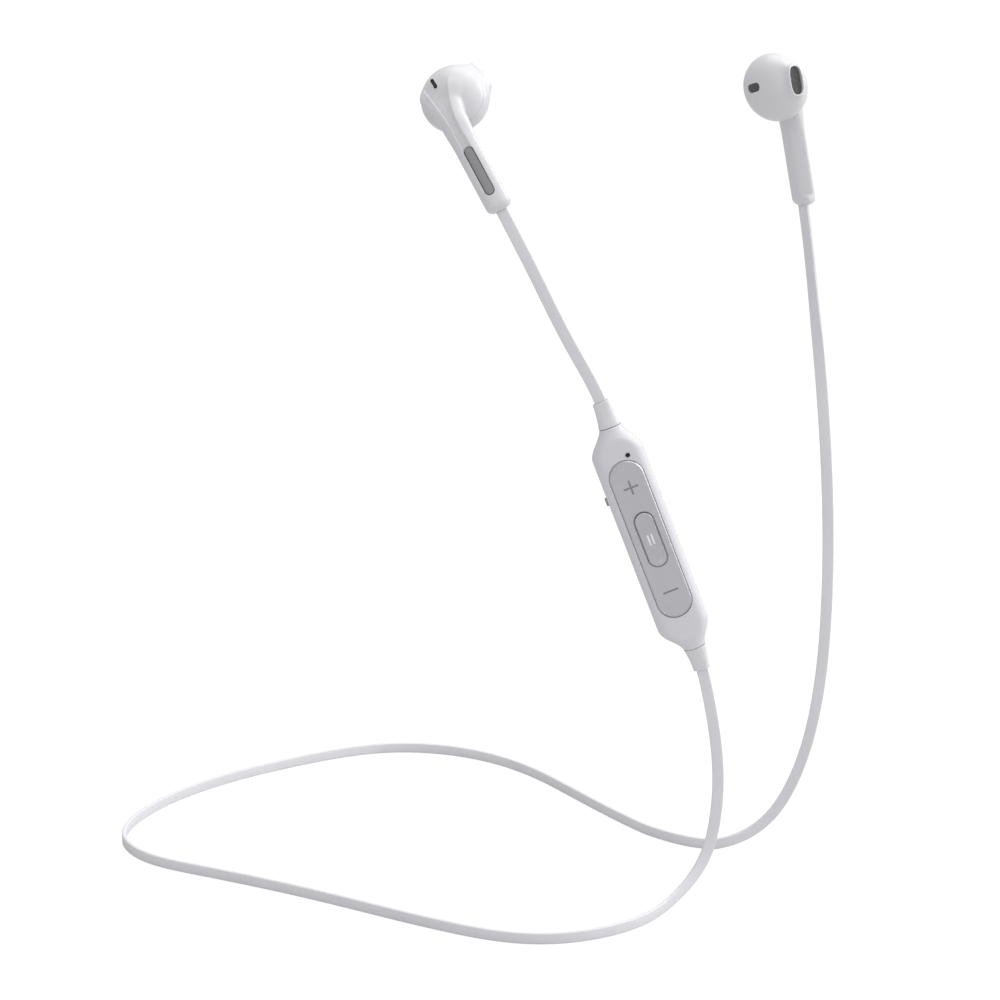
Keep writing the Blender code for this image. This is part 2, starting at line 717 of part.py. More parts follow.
def ribbon_length(run, start, end, pivot_start, pivot_end):
    """One length of ribbon. A pivot end is a half round about the bend axis;
    a start that follows a pivot stands clear of it."""
    if pivot_start:
        start += PIVOT_GAP
    rings = ribbon_rings(run, start, end, max(2, int(math.ceil((end - start) / RIBBON_STEP))))
    if pivot_end:
        for degrees in PIVOT_DEGREES:
            angle = math.radians(degrees)
            rings.append(ribbon_ring(run, end, along=RIBBON_HALF_THICK * math.sin(angle),
                                     half_thick=RIBBON_HALF_THICK * math.cos(angle)))
    return loft(rings)


# Strain reliefs: sections are half sizes across the ribbon's width and its thickness
PLUG_HALF = [half - 0.3 for half in PASSAGE_HALF]
PLUG_DEPTH = 2.0            # how far the plug reaches into the pod
SLEEVE_BASE_HALF = (3.07, 2.6)
SLEEVE_TAPER = (0.77, 0.95)     # what each half size loses by the tip
SLEEVE_STEPS = 4
BORE_HALF = (RIBBON_HALF_WIDTH + 0.25, RIBBON_HALF_THICK + 0.25)


def strain_relief(run):
    """Tapered soft sleeve swept along the ribbon, with a plug into the casing and a flat bore."""

    def ring(arc, half, power):
        point, _, normal, across = run.frame(arc)
        return [point + across * width + normal * thick
                for width, thick in oval(*half, 16, power)]

    plug_end = run.seam - PLUG_DEPTH
    base = run.seam + 0.25
    rings = [ring(plug_end, PLUG_HALF, 0.7), ring(base, PLUG_HALF, 0.7)]
    for i in range(SLEEVE_STEPS + 1):
        fraction = i / SLEEVE_STEPS
        taper = 1 - (1 - fraction) ** 1.5
        half = [size - loss * taper for size, loss in zip(SLEEVE_BASE_HALF, SLEEVE_TAPER)]
        # starts just past the plug's last ring, which it steps out from
        rings.append(ring(base + 0.02 + (run.sleeve_end - base) * 0.998 * fraction, half, 0.85))
    rings += [ring(arc, BORE_HALF, 0.35) for arc in (run.sleeve_end, plug_end)]
    return loft(rings, around=True)


def build_cable(side, pod, run, relief_name, bends, twist):
    """Cable from the pod to one earbud; returns the earbud's empty."""
    add(relief_name, strain_relief(run), WHITE_SOFT, pod)
    pivots = [run.sleeve_end + bend for bend in bends]
    add("%s_cable_root" % side, ribbon_length(run, 0.0, pivots[0], False, True),
        WHITE_SOFT, pod)
    ends = pivots[1:] + [twist - TWIST_GAP]
    parent = pod
    for i, (pivot, end) in enumerate(zip(pivots, ends)):
        point, _, _, across = run.frame(pivot)
        axis = across if i % 2 == 0 else -across
        parent = joint_empty("%s_cable_bend_%d" % (side, i + 1), point, axis, parent)
        is_last = i == len(pivots) - 1
        add("%s_cable_%d" % (side, i + 1), ribbon_length(run, pivot, end, True, not is_last),
            WHITE_SOFT, parent)
    point, tangent, _, _ = run.frame(twist)
    return joint_empty("%s_earbud_twist" % side, point, tangent, parent)


# ------------------------------------------------------------------ earbud form
# Local axes: z up the stem, -y the outer face, +y the side that meets the ear.

X_AXIS, Y_AXIS, Z_AXIS = np.eye(3)
UP_STEM = (X_AXIS, Y_AXIS, Z_AXIS)      # axes for pieces extruded along z
THROUGH_FACE = (X_AXIS, Z_AXIS, Y_AXIS)
THROUGH_STEM = (Z_AXIS, X_AXIS, Y_AXIS)  # outline long up the stem

STEM_HALF_X = 3.45
STEM_HALF_Y = 2.7
STEM_WIDENING = 0.7         # added to the half width over the rise below
STEM_WIDENING_RISE = 14.0
STEM_LEAN = 5.0             # shift towards the ear over the rise below
STEM_LEAN_RISE = 16.0
STEM_FOOT = 3.0             # height of the rounded foot
STEM_TOP_Z = 35.0           # the stem's rounded top starts here
STEM_TOP = 5.0
HEAD_CENTRE = np.array((2.9, 6.7, 33.9))
HEAD_SEMI = np.array((9.2, 6.9, 8.9))
HEAD_SCALE = 7.9            # turns the ellipsoid's ratio into a length
HEAD_BLEND = 2.6            # blend widths between the parts
NOZZLE_BLEND = 1.2
NOZZLE_START = 2.0          # from the head's centre, along the nozzle
NOZZLE_REACH = 9.7
NOZZLE_HALF = (2.25, 4.25)
NOZZLE_HOLE = (1.75, 3.75)
BUD_WALL = 0.75
BUD_RIM_Y = 3.7             # middle of the seam between the shells
BUD_SIDES = 24              # points round a section
FAN_Y, FAN_Z = 3.8, 23.5    # axis the rear shell's sections fan about, from head to stem
FAN_REACH = (10.4, 4.0)     # from that axis to the section centres, at the head and the stem
FAN_FRACTIONS = (0.16, 0.34, 0.52, 0.7, 0.86)
FRONT_FRACTIONS = (0.0, 0.2, 0.4, 0.58, 0.74, 0.87, 0.96, 0.995)    # rim to tip

NOZZLE_DIRECTION = np.array((0.963, 0.17, 0.208))
NOZZLE_DIRECTION /= np.linalg.norm(NOZZLE_DIRECTION)
NOZZLE_UP = Z_AXIS - NOZZLE_DIRECTION * NOZZLE_DIRECTION[2]
NOZZLE_UP /= np.linalg.norm(NOZZLE_UP)
NOZZLE_ACROSS = np.cross(NOZZLE_UP, NOZZLE_DIRECTION)
NOZZLE_AXES = (NOZZLE_ACROSS, NOZZLE_UP, NOZZLE_DIRECTION)


def smooth_min(first, second, width):
    overlap = np.maximum(width - np.abs(first - second), 0.0) / width
    return np.minimum(first, second) - overlap * overlap * width * 0.25


def stem_field(x, y, z):
    above_fan = np.maximum(z - FAN_Z, 0.0)
    half_x = STEM_HALF_X + STEM_WIDENING * np.minimum(above_fan / STEM_WIDENING_RISE, 1.0)
    spine_y = STEM_LEAN * (above_fan / STEM_LEAN_RISE) ** 2
    section = (x / half_x) ** 2 + ((y - spine_y) / STEM_HALF_Y) ** 2
    foot = np.maximum(STEM_FOOT - z, 0.0) / STEM_FOOT
    top = np.maximum(z - STEM_TOP_Z, 0.0) / STEM_TOP
    return (np.sqrt(section + foot ** 2.2 + top ** 2) - 1.0) * STEM_HALF_Y


def nozzle_field(from_head):
    along = from_head @ NOZZLE_DIRECTION
    ratio = np.sqrt(np.sqrt((from_head @ NOZZLE_ACROSS / NOZZLE_HALF[0]) ** 4
                            + (from_head @ NOZZLE_UP / NOZZLE_HALF[1]) ** 4))
    nozzle = np.maximum((ratio - 1.0) * NOZZLE_HALF[0], along - NOZZLE_REACH)
    return np.maximum(nozzle, NOZZLE_START - along)


def bud_field(points):
    """Negative inside the earbud, for an array of points."""
    from_head = points - HEAD_CENTRE
    head = (np.sqrt(((from_head / HEAD_SEMI) ** 2).sum(axis=1)) - 1.0) * HEAD_SCALE
    stem = stem_field(points[:, 0], points[:, 1], points[:, 2])
    return smooth_min(smooth_min(stem, head, HEAD_BLEND), nozzle_field(from_head), NOZZLE_BLEND)


def field_ring(centre, first, second, level):
    """Outline of the field at a level, found by bisection along rays in one plane."""
    centre = np.asarray(centre, float)
    angles = np.array([2 * math.pi * i / BUD_SIDES for i in range(BUD_SIDES)])
    rays = np.outer(np.cos(angles), first) + np.outer(np.sin(angles), second)
    near = np.zeros(BUD_SIDES)
    far = np.full(BUD_SIDES, 16.0)
    for _ in range(32):
        middle = 0.5 * (near + far)
        inside = bud_field(centre + rays * middle[:, None]) < level
        near = np.where(inside, middle, near)
        far = np.where(inside, far, middle)
    return centre + rays * near[:, None]


def head_ring(y, level):
    return field_ring((HEAD_CENTRE[0], y, HEAD_CENTRE[2]), X_AXIS, Z_AXIS, level)


def front_rings(level):
    """Rim to tip, towards the ear."""
    rim = BUD_RIM_Y + SEAM_GAP / 2
    tip = HEAD_CENTRE[1] + HEAD_SEMI[1] + level * 0.94
    return [head_ring(rim + (tip - rim) * fraction, level) for fraction in FRONT_FRACTIONS]


def rear_rings(level):
    """Rim of the head, fanning round to the stem, then down to its foot."""
    rings = [head_ring(BUD_RIM_Y - SEAM_GAP / 2, level)]
    for fraction in FAN_FRACTIONS:
        angle = math.radians(90.0 * fraction)
        reach = FAN_REACH[0] + (FAN_REACH[1] - FAN_REACH[0]) * smoothstep(fraction)
        radial = -Y_AXIS * math.sin(angle) + Z_AXIS * math.cos(angle)
        hub = np.array((HEAD_CENTRE[0] * (1 - fraction), FAN_Y, FAN_Z))
        rings.append(field_ring(hub + radial * reach, X_AXIS, radial, level))
    bottom = -level * 0.9
    heights = [max(z, bottom + STEM_FOOT) for z in (FAN_Z, 13.0, 3.6)]
    heights += [bottom + z for z in (2.0, 0.9, 0.25)]
    return rings + [field_ring((0.0, 0.0, z), X_AXIS, -Y_AXIS, level) for z in heights]


def skin_y(x, z):
    """y of the outer face at a point of the rear shell."""
    outside, inside = -6.0, HEAD_CENTRE[1]
    for _ in range(30):
        middle = 0.5 * (outside + inside)
        if bud_field(np.array([[x, middle, z]]))[0] > 0:
            outside = middle
        else:
            inside = middle
    return outside


# ------------------------------------------------------------------ earbud pieces

CABLE_OFFSET_Y = 0.6        # ribbon from the stem's axis
CABLE_HOLE = (3.9, 1.7)
FACE_VENT_CENTRE = np.array((0.9, 0.0, 34.6))
FACE_VENT = pill(4.2, 2.0, 6)
INLAY_Z = (5.0, 19.2)
INLAY_CENTRE = np.array((0.0, 0.0, 0.5 * (INLAY_Z[0] + INLAY_Z[1])))
INLAY_LENGTH = INLAY_Z[1] - INLAY_Z[0]
INLAY_WIDTH = 2.4
INLAY_RECESS_EXTRA = 0.4    # the recess is this much longer and wider
REAR_VENT_X, REAR_VENT_Z = -0.1, 38.6
REAR_VENT_CENTRE = np.array((REAR_VENT_X, 0.0, REAR_VENT_Z))
REAR_VENT_TILT = math.radians(6.5)
REAR_VENT_AXES = (np.array((-math.sin(REAR_VENT_TILT), 0.0, math.cos(REAR_VENT_TILT))),
                  np.array((math.cos(REAR_VENT_TILT), 0.0, math.sin(REAR_VENT_TILT))),
                  Y_AXIS)
CLAMP_Z = (8.4, 10.0)
DIAPHRAGM_Y = 8.2
TAIL_STEPS = 4
TAIL_SHORTFALL = 1.5        # the ribbon stops this far short of its path's end

# Driver profiles: radius and y, about a line through the head's centre
FRAME_PROFILE = [(6.1, 5.1), (6.1, 9.0), (5.5, 9.0), (5.5, 5.7), (4.3, 5.7), (4.3, 5.1)]
MAGNET_PROFILE = [(4.0, 4.7), (4.0, 5.3), (2.6, 5.4), (2.6, 7.4)]
FILM_PROFILE = [(5.1, 8.1), (5.1, 8.3), (3.6, 8.7), (1.6, 9.1)]
COIL_PROFILE = [(3.5, 6.2), (3.5, 7.8), (3.0, 7.8), (3.0, 6.2)]


def front_shell():
    """Ear-side shell, with the nozzle's hole and an oval vent."""
    shell = bowl(front_rings(0.0), front_rings(-BUD_WALL))
    shell = cut(shell, oriented_prism(oval(*NOZZLE_HOLE), HEAD_CENTRE, NOZZLE_AXES,
                                      (4.0, 12.0)))
    return cut(shell, oriented_prism(FACE_VENT, FACE_VENT_CENTRE, THROUGH_FACE, (10.5, 16.0)))


def nozzle_mesh():
    outline = oval(*[half - 0.25 for half in NOZZLE_HOLE])
    return oriented_prism(outline, HEAD_CENTRE, NOZZLE_AXES, (8.3, 8.8))


def face_vent_mesh():
    outline = [(x * 0.82, z * 0.78) for x, z in FACE_VENT]
    return oriented_prism(outline, FACE_VENT_CENTRE, THROUGH_FACE, (12.1, 12.5))


def rear_shell():
    """Outer shell and stem, with the inlay's recess, the cable hole and a slot vent."""
    shell = bowl(rear_rings(0.0), rear_rings(-BUD_WALL))
    recess = pill(INLAY_LENGTH + INLAY_RECESS_EXTRA, INLAY_WIDTH + INLAY_RECESS_EXTRA, 6)
    shell = cut(shell, oriented_prism(recess, INLAY_CENTRE, THROUGH_STEM, (-4.0, -1.2)))
    hole = rounded_rect(*CABLE_HOLE, 0.5, 2)
    shell = cut(shell, oriented_prism(hole, Y_AXIS * CABLE_OFFSET_Y, UP_STEM, (-3.0, 4.0)))
    return cut(shell, oriented_prism(pill(2.8, 1.1, 5), REAR_VENT_CENTRE, REAR_VENT_AXES,
                                     (-4.0, 3.2)))


def stem_inlay():
    return oriented_prism(pill(INLAY_LENGTH, INLAY_WIDTH, 6), INLAY_CENTRE, THROUGH_STEM,
                          (-2.5, -1.7))


def rear_vent_mesh():
    skin = skin_y(REAR_VENT_X, REAR_VENT_Z)
    return oriented_prism(pill(2.3, 0.6, 5), REAR_VENT_CENTRE, REAR_VENT_AXES,
                          (skin + 0.3, skin + 0.6))


def driver_part(profile, segments, hollow=False):
    return moved(turned(profile, segments, axis="y", hollow=hollow),
                 Matrix.Translation((HEAD_CENTRE[0], 0.0, HEAD_CENTRE[2])))


def cable_clamp():
    return oriented_prism(oval(2.05, 1.45, power=1.0), np.zeros(3), UP_STEM, CLAMP_Z)


def build_bud(side, empty, run, twist, exit_point, stem, outward, mirrored):
    """Earbud with its outer face towards `outward`; mirroring flips its local x."""
    z = stem
    y = -(outward - z * outward.dot(z)).normalized()
    x = y.cross(z).normalized()
    space = frame_matrix(x, y, z, Vector(exit_point) - y * CABLE_OFFSET_Y)
    if mirrored:
        space = space @ Matrix.Diagonal((-1.0, 1.0, 1.0, 1.0))

    def put(name, mesh, material, parent=empty, sharp=35.0):
        if mirrored:
            mesh.flip_normals()
        add("%s_%s" % (side, name), mesh, material, parent, space, sharp)

    put("front_shell", front_shell(), WHITE_GLOSS, sharp=50.0)
    put("nozzle_mesh", nozzle_mesh(), DARK_MESH)
    put("face_vent_mesh", face_vent_mesh(), DARK_MESH)
    put("rear_shell", rear_shell(), WHITE_GLOSS, sharp=50.0)
    put("stem_inlay", stem_inlay(), GREY_INLAY)
    put("rear_vent_mesh", rear_vent_mesh(), DARK_MESH)
    put("driver_frame", driver_part(FRAME_PROFILE, 24, hollow=True), STEEL)
    put("driver_magnet", driver_part(MAGNET_PROFILE, 20), MAGNET)

    # the film and coil move together along y
    cone_centre = space @ Vector((HEAD_CENTRE[0], DIAPHRAGM_Y, HEAD_CENTRE[2]))
    cone = joint_empty("%s_diaphragm_travel" % side, cone_centre, y, empty)
    put("diaphragm", driver_part(FILM_PROFILE, 24), FILM, cone)
    put("voice_coil", driver_part(COIL_PROFILE, 20, hollow=True), COPPER, cone)

    # the ribbon's last length, from the twist joint up into the stem
    tail = loft(ribbon_rings(run, twist + TWIST_GAP, run.length - TAIL_SHORTFALL, TAIL_STEPS))
    add("%s_cable_tail" % side, tail, WHITE_SOFT, empty)
    put("cable_clamp", cable_clamp(), STEEL)


# ------------------------------------------------------------------ assembly

control_pod = build_pod()
right_bud = build_cable("right", control_pod, RIGHT_RUN, "strain_relief_upper",
                        RIGHT_BENDS, RIGHT_TWIST)
left_bud = build_cable("left", control_pod, LEFT_RUN, "strain_relief_lower",
                       LEFT_BENDS, LEFT_TWIST)
build_bud("right", right_bud, RIGHT_RUN, RIGHT_TWIST, RIGHT_EXIT, RIGHT_STEM, RIGHT_OUTWARD,
          mirrored=False)
build_bud("left", left_bud, LEFT_RUN, LEFT_TWIST, LEFT_EXIT, LEFT_STEM, LEFT_OUTWARD,
          mirrored=True)
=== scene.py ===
import math
import bpy
import bmesh
import numpy as np
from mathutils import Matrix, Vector


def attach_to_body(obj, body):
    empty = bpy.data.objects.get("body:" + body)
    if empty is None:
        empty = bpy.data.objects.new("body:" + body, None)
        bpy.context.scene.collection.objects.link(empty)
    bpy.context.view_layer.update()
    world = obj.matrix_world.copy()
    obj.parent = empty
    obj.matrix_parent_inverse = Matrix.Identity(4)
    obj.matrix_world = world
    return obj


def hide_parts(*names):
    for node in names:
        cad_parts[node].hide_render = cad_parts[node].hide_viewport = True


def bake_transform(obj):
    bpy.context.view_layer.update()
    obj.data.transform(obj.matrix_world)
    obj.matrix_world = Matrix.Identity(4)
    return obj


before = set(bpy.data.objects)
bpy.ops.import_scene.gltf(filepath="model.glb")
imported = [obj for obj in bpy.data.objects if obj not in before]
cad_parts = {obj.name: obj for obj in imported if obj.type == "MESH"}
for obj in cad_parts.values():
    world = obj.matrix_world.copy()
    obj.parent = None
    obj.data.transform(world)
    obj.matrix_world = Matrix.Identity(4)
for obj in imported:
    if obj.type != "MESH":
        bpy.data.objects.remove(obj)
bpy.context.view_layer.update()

MM = 0.001
SHIFT = np.array((0.435, 2.765, 0.0))

# ------------------------------------------------------------------ shared dimensions

# Ribbon section
RIBBON_HALF_W, RIBBON_HALF_T = 1.55, 0.55
RIBBON_CORNER = 0.30

# Pod axes: ALONG runs down the pod from its upper end, OUT leaves its key face, ACROSS is sideways
POD_TOP = Vector((36.73, -48.0, 134.01))
POD_ALONG = Vector((0.3590, 0.0, -0.9333)).normalized()
POD_YAW = math.radians(2.7)
POD_LEN = 64.5
UNTURNED_ACROSS = Vector((-POD_ALONG.z, 0.0, POD_ALONG.x))
POD_OUT = (Vector((0.0, -1.0, 0.0)) * math.cos(POD_YAW)
           + UNTURNED_ACROSS * math.sin(POD_YAW)).normalized()
POD_ACROSS = POD_OUT.cross(POD_ALONG).normalized()
POD_MID = -0.65                 # the full section is centred this far across
POD_HALF_W, POD_HALF_D = 7.0, 4.4
POD_FACE = 4.0                  # height at which both faces are flattened
POD_END = 3.05                  # half width at the ends
KEYS_AT = 31.6                  # middle of the key plate along the pod
MIC_AT = (8.05, 1.6)            # microphone hole: along, across
PORT_AT = (22.8, -1.2)          # charging port on the pod's side: along, out

# Earbud frame: z up the stem from its foot, -y to the outer face, +y to the ear
HEAD_CENTRE = np.array((2.45, 6.7, 33.9))
HEAD_HALF = np.array((9.2, 6.9, 8.9))
RIM_Y = 3.7                     # joint between rear and front covers
CABLE_Y = 0.6
NOZZLE_DIR = np.array((0.963, 0.17, 0.208))
NOZZLE_DIR = NOZZLE_DIR / np.linalg.norm(NOZZLE_DIR)
NOZZLE_UP = np.array((0.0, 0.0, 1.0)) - NOZZLE_DIR * NOZZLE_DIR[2]
NOZZLE_UP = NOZZLE_UP / np.linalg.norm(NOZZLE_UP)
NOZZLE_ACROSS = np.cross(NOZZLE_UP, NOZZLE_DIR)

# Where each cable enters its stem, the stem's direction and the way its outer face looks
RIGHT_STEM = Vector((-0.46, 0.374, 0.805)).normalized()
LEFT_STEM = Vector((-0.19, -0.08, 0.978)).normalized()
RIGHT_EXIT = (8.5, -42.9, 189.8)
LEFT_EXIT = (88.5, -22.0, 188.0)
RIGHT_YAW, LEFT_YAW = math.radians(-2.0), math.radians(47.0)
RIGHT_OUT = Vector((math.sin(RIGHT_YAW), -math.cos(RIGHT_YAW), 0.0))
LEFT_OUT = Vector((math.sin(LEFT_YAW), math.cos(LEFT_YAW), 0.0))

# ------------------------------------------------------------------ shader nodes


def feed(tree, node, inputs):
    """Sets node inputs by name or index: a socket is linked, anything else is a value."""
    for key, value in inputs.items():
        if isinstance(value, bpy.types.NodeSocket):
            tree.links.new(value, node.inputs[key])
        else:
            node.inputs[key].default_value = value


def add_node(tree, kind, inputs, **settings):
    node = tree.nodes.new("ShaderNode" + kind)
    for key, value in settings.items():
        setattr(node, key, value)
    feed(tree, node, inputs)
    return node


def map_range(tree, value, source, target):
    """Socket with the value remapped from the source (min, max) to the target (min, max)."""
    return add_node(tree, "MapRange", {
        "Value": value, "From Min": source[0], "From Max": source[1],
        "To Min": target[0], "To Max": target[1]}).outputs["Result"]


def new_material(name):
    material = bpy.data.materials.new(name)
    material.use_nodes = True
    tree = material.node_tree
    return material, tree, tree.nodes["Principled BSDF"]


# ------------------------------------------------------------------ materials

GLOSS_SPREAD = 0.06     # how far roughness wanders on the grained finishes


def rubbed_edges(tree, colour, tip, wear):
    """Mixes the tip colour in on sharp convex edges."""
    geometry = add_node(tree, "NewGeometry", {})
    edge = map_range(tree, geometry.outputs["Pointiness"], (0.55, 0.67), (0.0, wear))
    return add_node(tree, "Mix", {0: edge, 6: colour, 7: (*tip, 1.0)}, data_type="RGBA").outputs[2]


def uneven_gloss(tree, coords, rough, scale):
    smear = add_node(tree, "TexNoise", {"Vector": coords, "Scale": scale, "Detail": 5.0})
    limits = (max(0.02, rough - GLOSS_SPREAD), min(1.0, rough + GLOSS_SPREAD))
    return map_range(tree, smear.outputs["Fac"], (0.25, 0.75), limits)


def grain_normal(tree, coords, grain, depth, stretch, waves):
    """Bump from fine noise, with optional wave bands given as (direction, scale, distortion)."""
    mapping = add_node(tree, "Mapping", {"Vector": coords, "Scale": stretch})
    fine = add_node(tree, "TexNoise", {
        "Vector": mapping.outputs["Vector"], "Scale": grain, "Detail": 3.0, "Roughness": 0.6})
    height = fine.outputs["Fac"]
    if waves is not None:
        direction, scale, distortion = waves
        bands = add_node(tree, "TexWave", {
            "Vector": coords, "Scale": scale, "Distortion": distortion},
            bands_direction=direction)
        height = add_node(tree, "Math", {0: height, 1: bands.outputs["Fac"]},
                          operation="ADD").outputs["Value"]
    bump = add_node(tree, "Bump", {"Height": height, "Strength": 1.0, "Distance": depth})
    return bump.outputs["Normal"]


def finish(name, colour, rough, metallic=0.0, vary=0.03, vary_scale=60.0, coat=0.0, sheen=0.0,
           grain=None, depth=0.0, stretch=(1.0, 1.0, 1.0), waves=None, wear=0.0, wear_tint=None):
    """Procedural finish with colour drift.

    vary, vary_scale: strength and noise scale of the drift.
    grain, depth: noise scale and height in metres of the surface grain, which also makes the
        gloss uneven; stretch scales the grain along each axis.
    wear, wear_tint: strength and colour of the rubbed edges.
    """
    material, tree, bsdf = new_material(name)
    coords = add_node(tree, "TexCoord", {}).outputs["Object"]
    clouds = add_node(tree, "TexNoise", {"Vector": coords, "Scale": vary_scale, "Detail": 4.0})
    drift = map_range(tree, clouds.outputs["Fac"], (0.3, 0.7), (1.0 - vary, 1.0 + vary))
    base = add_node(tree, "VectorMath", {0: colour, "Scale": drift},
                    operation="SCALE").outputs["Vector"]
    if wear > 0.0:
        tip = wear_tint or tuple(min(1.0, channel * 1.12 + 0.02) for channel in colour)
        base = rubbed_edges(tree, base, tip, wear)
    feed(tree, bsdf, {
        "Base Color": base, "Roughness": rough, "Metallic": metallic,
        "Coat Weight": coat, "Coat Roughness": 0.12,
        "Sheen Weight": sheen, "Sheen Roughness": 0.4})
    if grain is not None:
        feed(tree, bsdf, {
            "Roughness": uneven_gloss(tree, coords, rough, vary_scale * 5.0),
            "Normal": grain_normal(tree, coords, grain, depth, stretch, waves)})
    return material


# Smooth mouldings
CASE = finish("casing_white", colour=(0.655, 0.65, 0.68), rough=0.42, vary=0.012)
SHELL = finish("shell_white", colour=(0.66, 0.655, 0.672), rough=0.30, vary=0.010, coat=0.10)
SOFT = finish("ribbon_white", colour=(0.695, 0.69, 0.71), rough=0.5,
              vary=0.018, vary_scale=45.0, sheen=0.06)
SLEEVE = finish("sleeve_white", colour=(0.675, 0.67, 0.685), rough=0.46, vary=0.015, sheen=0.05)
# The cover's lip is dark grey as painted shade: it stands in for the shaded edge of a white tab
SHADED_LIP = finish("lip_painted_shade", colour=(0.30, 0.30, 0.31), rough=0.5, sheen=0.05)
KEYS = finish("key_silver", colour=(0.56, 0.56, 0.58), rough=0.30, metallic=0.6, vary=0.02)
BUTTON = finish("button_silver", colour=(0.54, 0.54, 0.56), rough=0.28, metallic=0.6, vary=0.02)
MARKS = finish("mark_grey", colour=(0.27, 0.27, 0.285), rough=0.5, vary=0.04)
GLYPH = finish("glyph_light", colour=(0.86, 0.86, 0.88), rough=0.3, vary=0.02)
INLAY = finish("inlay_grey", colour=(0.27, 0.27, 0.275), rough=0.38, metallic=0.35)

# Grained finishes
WIRE = finish("woven_wire", colour=(0.24, 0.24, 0.235), rough=0.42, metallic=0.6, vary=0.08,
              grain=9000.0, depth=3e-6)
# Near-black backing for the meshes; as the rear slot's plug it also paints the shade inside that
# slot
DARK = finish("mesh_backing", colour=(0.018, 0.018, 0.018), rough=0.7, vary=0.15,
              grain=6000.0, depth=8e-6)
STEEL = finish("spring_steel", colour=(0.60, 0.60, 0.61), rough=0.26, metallic=1.0, vary=0.04,
               grain=3000.0, depth=4e-6, stretch=(1.0, 0.08, 1.0), wear=0.3)
BOARD = finish("board_green", colour=(0.020, 0.125, 0.060), rough=0.34, vary=0.10,
               vary_scale=160.0, coat=0.3, grain=2600.0, depth=9e-6,
               waves=("DIAGONAL", 420.0, 0.4), wear=0.3, wear_tint=(0.35, 0.30, 0.12))
CHIP = finish("chip_epoxy", colour=(0.022, 0.022, 0.024), rough=0.52, vary=0.12,
              grain=5200.0, depth=1.2e-5, wear=0.2, wear_tint=(0.12, 0.12, 0.12))
CERAMIC = finish("ceramic_white", colour=(0.66, 0.66, 0.63), rough=0.5, vary=0.04,
                 grain=5200.0, depth=8e-6, wear=0.2)
FOIL = finish("cell_foil", colour=(0.56, 0.57, 0.59), rough=0.34, metallic=0.85, vary=0.05,
              vary_scale=240.0, grain=900.0, depth=3.5e-5, wear=0.3)
GASKET = finish("gasket_rubber", colour=(0.022, 0.022, 0.023), rough=0.82, vary=0.10,
                sheen=0.2, grain=3000.0, depth=1.6e-5, wear=0.1)
MOULD = finish("moulded_dark", colour=(0.045, 0.045, 0.048), rough=0.5, vary=0.08,
               grain=4000.0, depth=9e-6, wear=0.25, wear_tint=(0.14, 0.14, 0.15))
MAGNET = finish("magnet_nickel", colour=(0.44, 0.43, 0.41), rough=0.22, metallic=1.0, vary=0.05,
                grain=2500.0, depth=3e-6, wear=0.4, wear_tint=(0.2, 0.18, 0.15))
FILM = finish("driver_film", colour=(0.52, 0.44, 0.28), rough=0.22, vary=0.06, coat=0.4,
              grain=1500.0, depth=1.2e-5, wear=0.1)
COPPER = finish("coil_copper", colour=(0.64, 0.28, 0.12), rough=0.3, metallic=1.0, vary=0.06,
                grain=1200.0, depth=8e-6, waves=("Y", 5200.0, 0.0), wear=0.3)

# ------------------------------------------------------------------ mesh helpers


def to_metres(points):
    """Working millimetres to the CAD frame in metres."""
    return (np.asarray(points, float) + SHIFT) * MM


def to_mesh(points, faces):
    """Mesh from millimetre points; faces are an (n, 4) array or a list of tuples."""
    mesh = bpy.data.meshes.new("part")
    verts = to_metres(points)
    if isinstance(faces, np.ndarray):
        count, corners = faces.shape
        mesh.vertices.add(len(verts))
        mesh.vertices.foreach_set("co", verts.astype(np.float32).ravel())
        mesh.loops.add(count * corners)
        mesh.loops.foreach_set("vertex_index", faces.astype(np.int32).ravel())
        mesh.polygons.add(count)
        starts = np.arange(0, count * corners, corners, dtype=np.int32)
        mesh.polygons.foreach_set("loop_start", starts)
        mesh.polygons.foreach_set("loop_total", np.full(count, corners, dtype=np.int32))
        mesh.update(calc_edges=True)
    else:
        mesh.from_pydata(verts.tolist(), [], faces)
        mesh.update()
    return mesh


def face_outward(mesh):
    work = bmesh.new()
    work.from_mesh(mesh)
    bmesh.ops.recalc_face_normals(work, faces=work.faces)
    work.to_mesh(mesh)
    work.free()


def show(name, mesh, material, sharp=40.0, fix=True):
    """Object in the scene; edges over `sharp` degrees stay hard, `fix` turns faces outward."""
    if fix:
        face_outward(mesh)
    mesh.name = name
    mesh.materials.clear()
    mesh.materials.append(material)
    mesh.shade_smooth()
    mesh.set_sharp_from_angle(angle=math.radians(sharp))
    ob = bpy.data.objects.new(name, mesh)
    bpy.context.scene.collection.objects.link(ob)
    return ob


def attach(ob, body, slot, *nodes):
    """The object rides a body and stands in for the named CAD nodes; slot is not used."""
    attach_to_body(ob, body)
    if nodes:
        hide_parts(*nodes)


def loft(rings, around=False):
    """Points and faces that skin equal rings: capped, or joined last to first if around."""
    rings = [np.asarray(ring, float) for ring in rings]
    count = len(rings[0])
    verts = np.concatenate(rings)
    faces = []
    spans = len(rings) if around else len(rings) - 1
    for i in range(spans):
        this, after = i * count, ((i + 1) % len(rings)) * count
        for j in range(count):
            k = (j + 1) % count
            faces.append((this + j, this + k, after + k, after + j))
    if not around:
        faces.append(tuple(range(count)))
        faces.append(tuple(range(len(verts) - count, len(verts))))
    return verts, faces


def place_points(points, x, y, z, origin, mirror=1.0):
    """Local points in the working frame, given the local axes; mirror flips local x."""
    points = np.asarray(points, float)
    return (np.outer(points[:, 0] * mirror, x) + np.outer(points[:, 1], y)
            + np.outer(points[:, 2], z)) + np.asarray(origin, float)


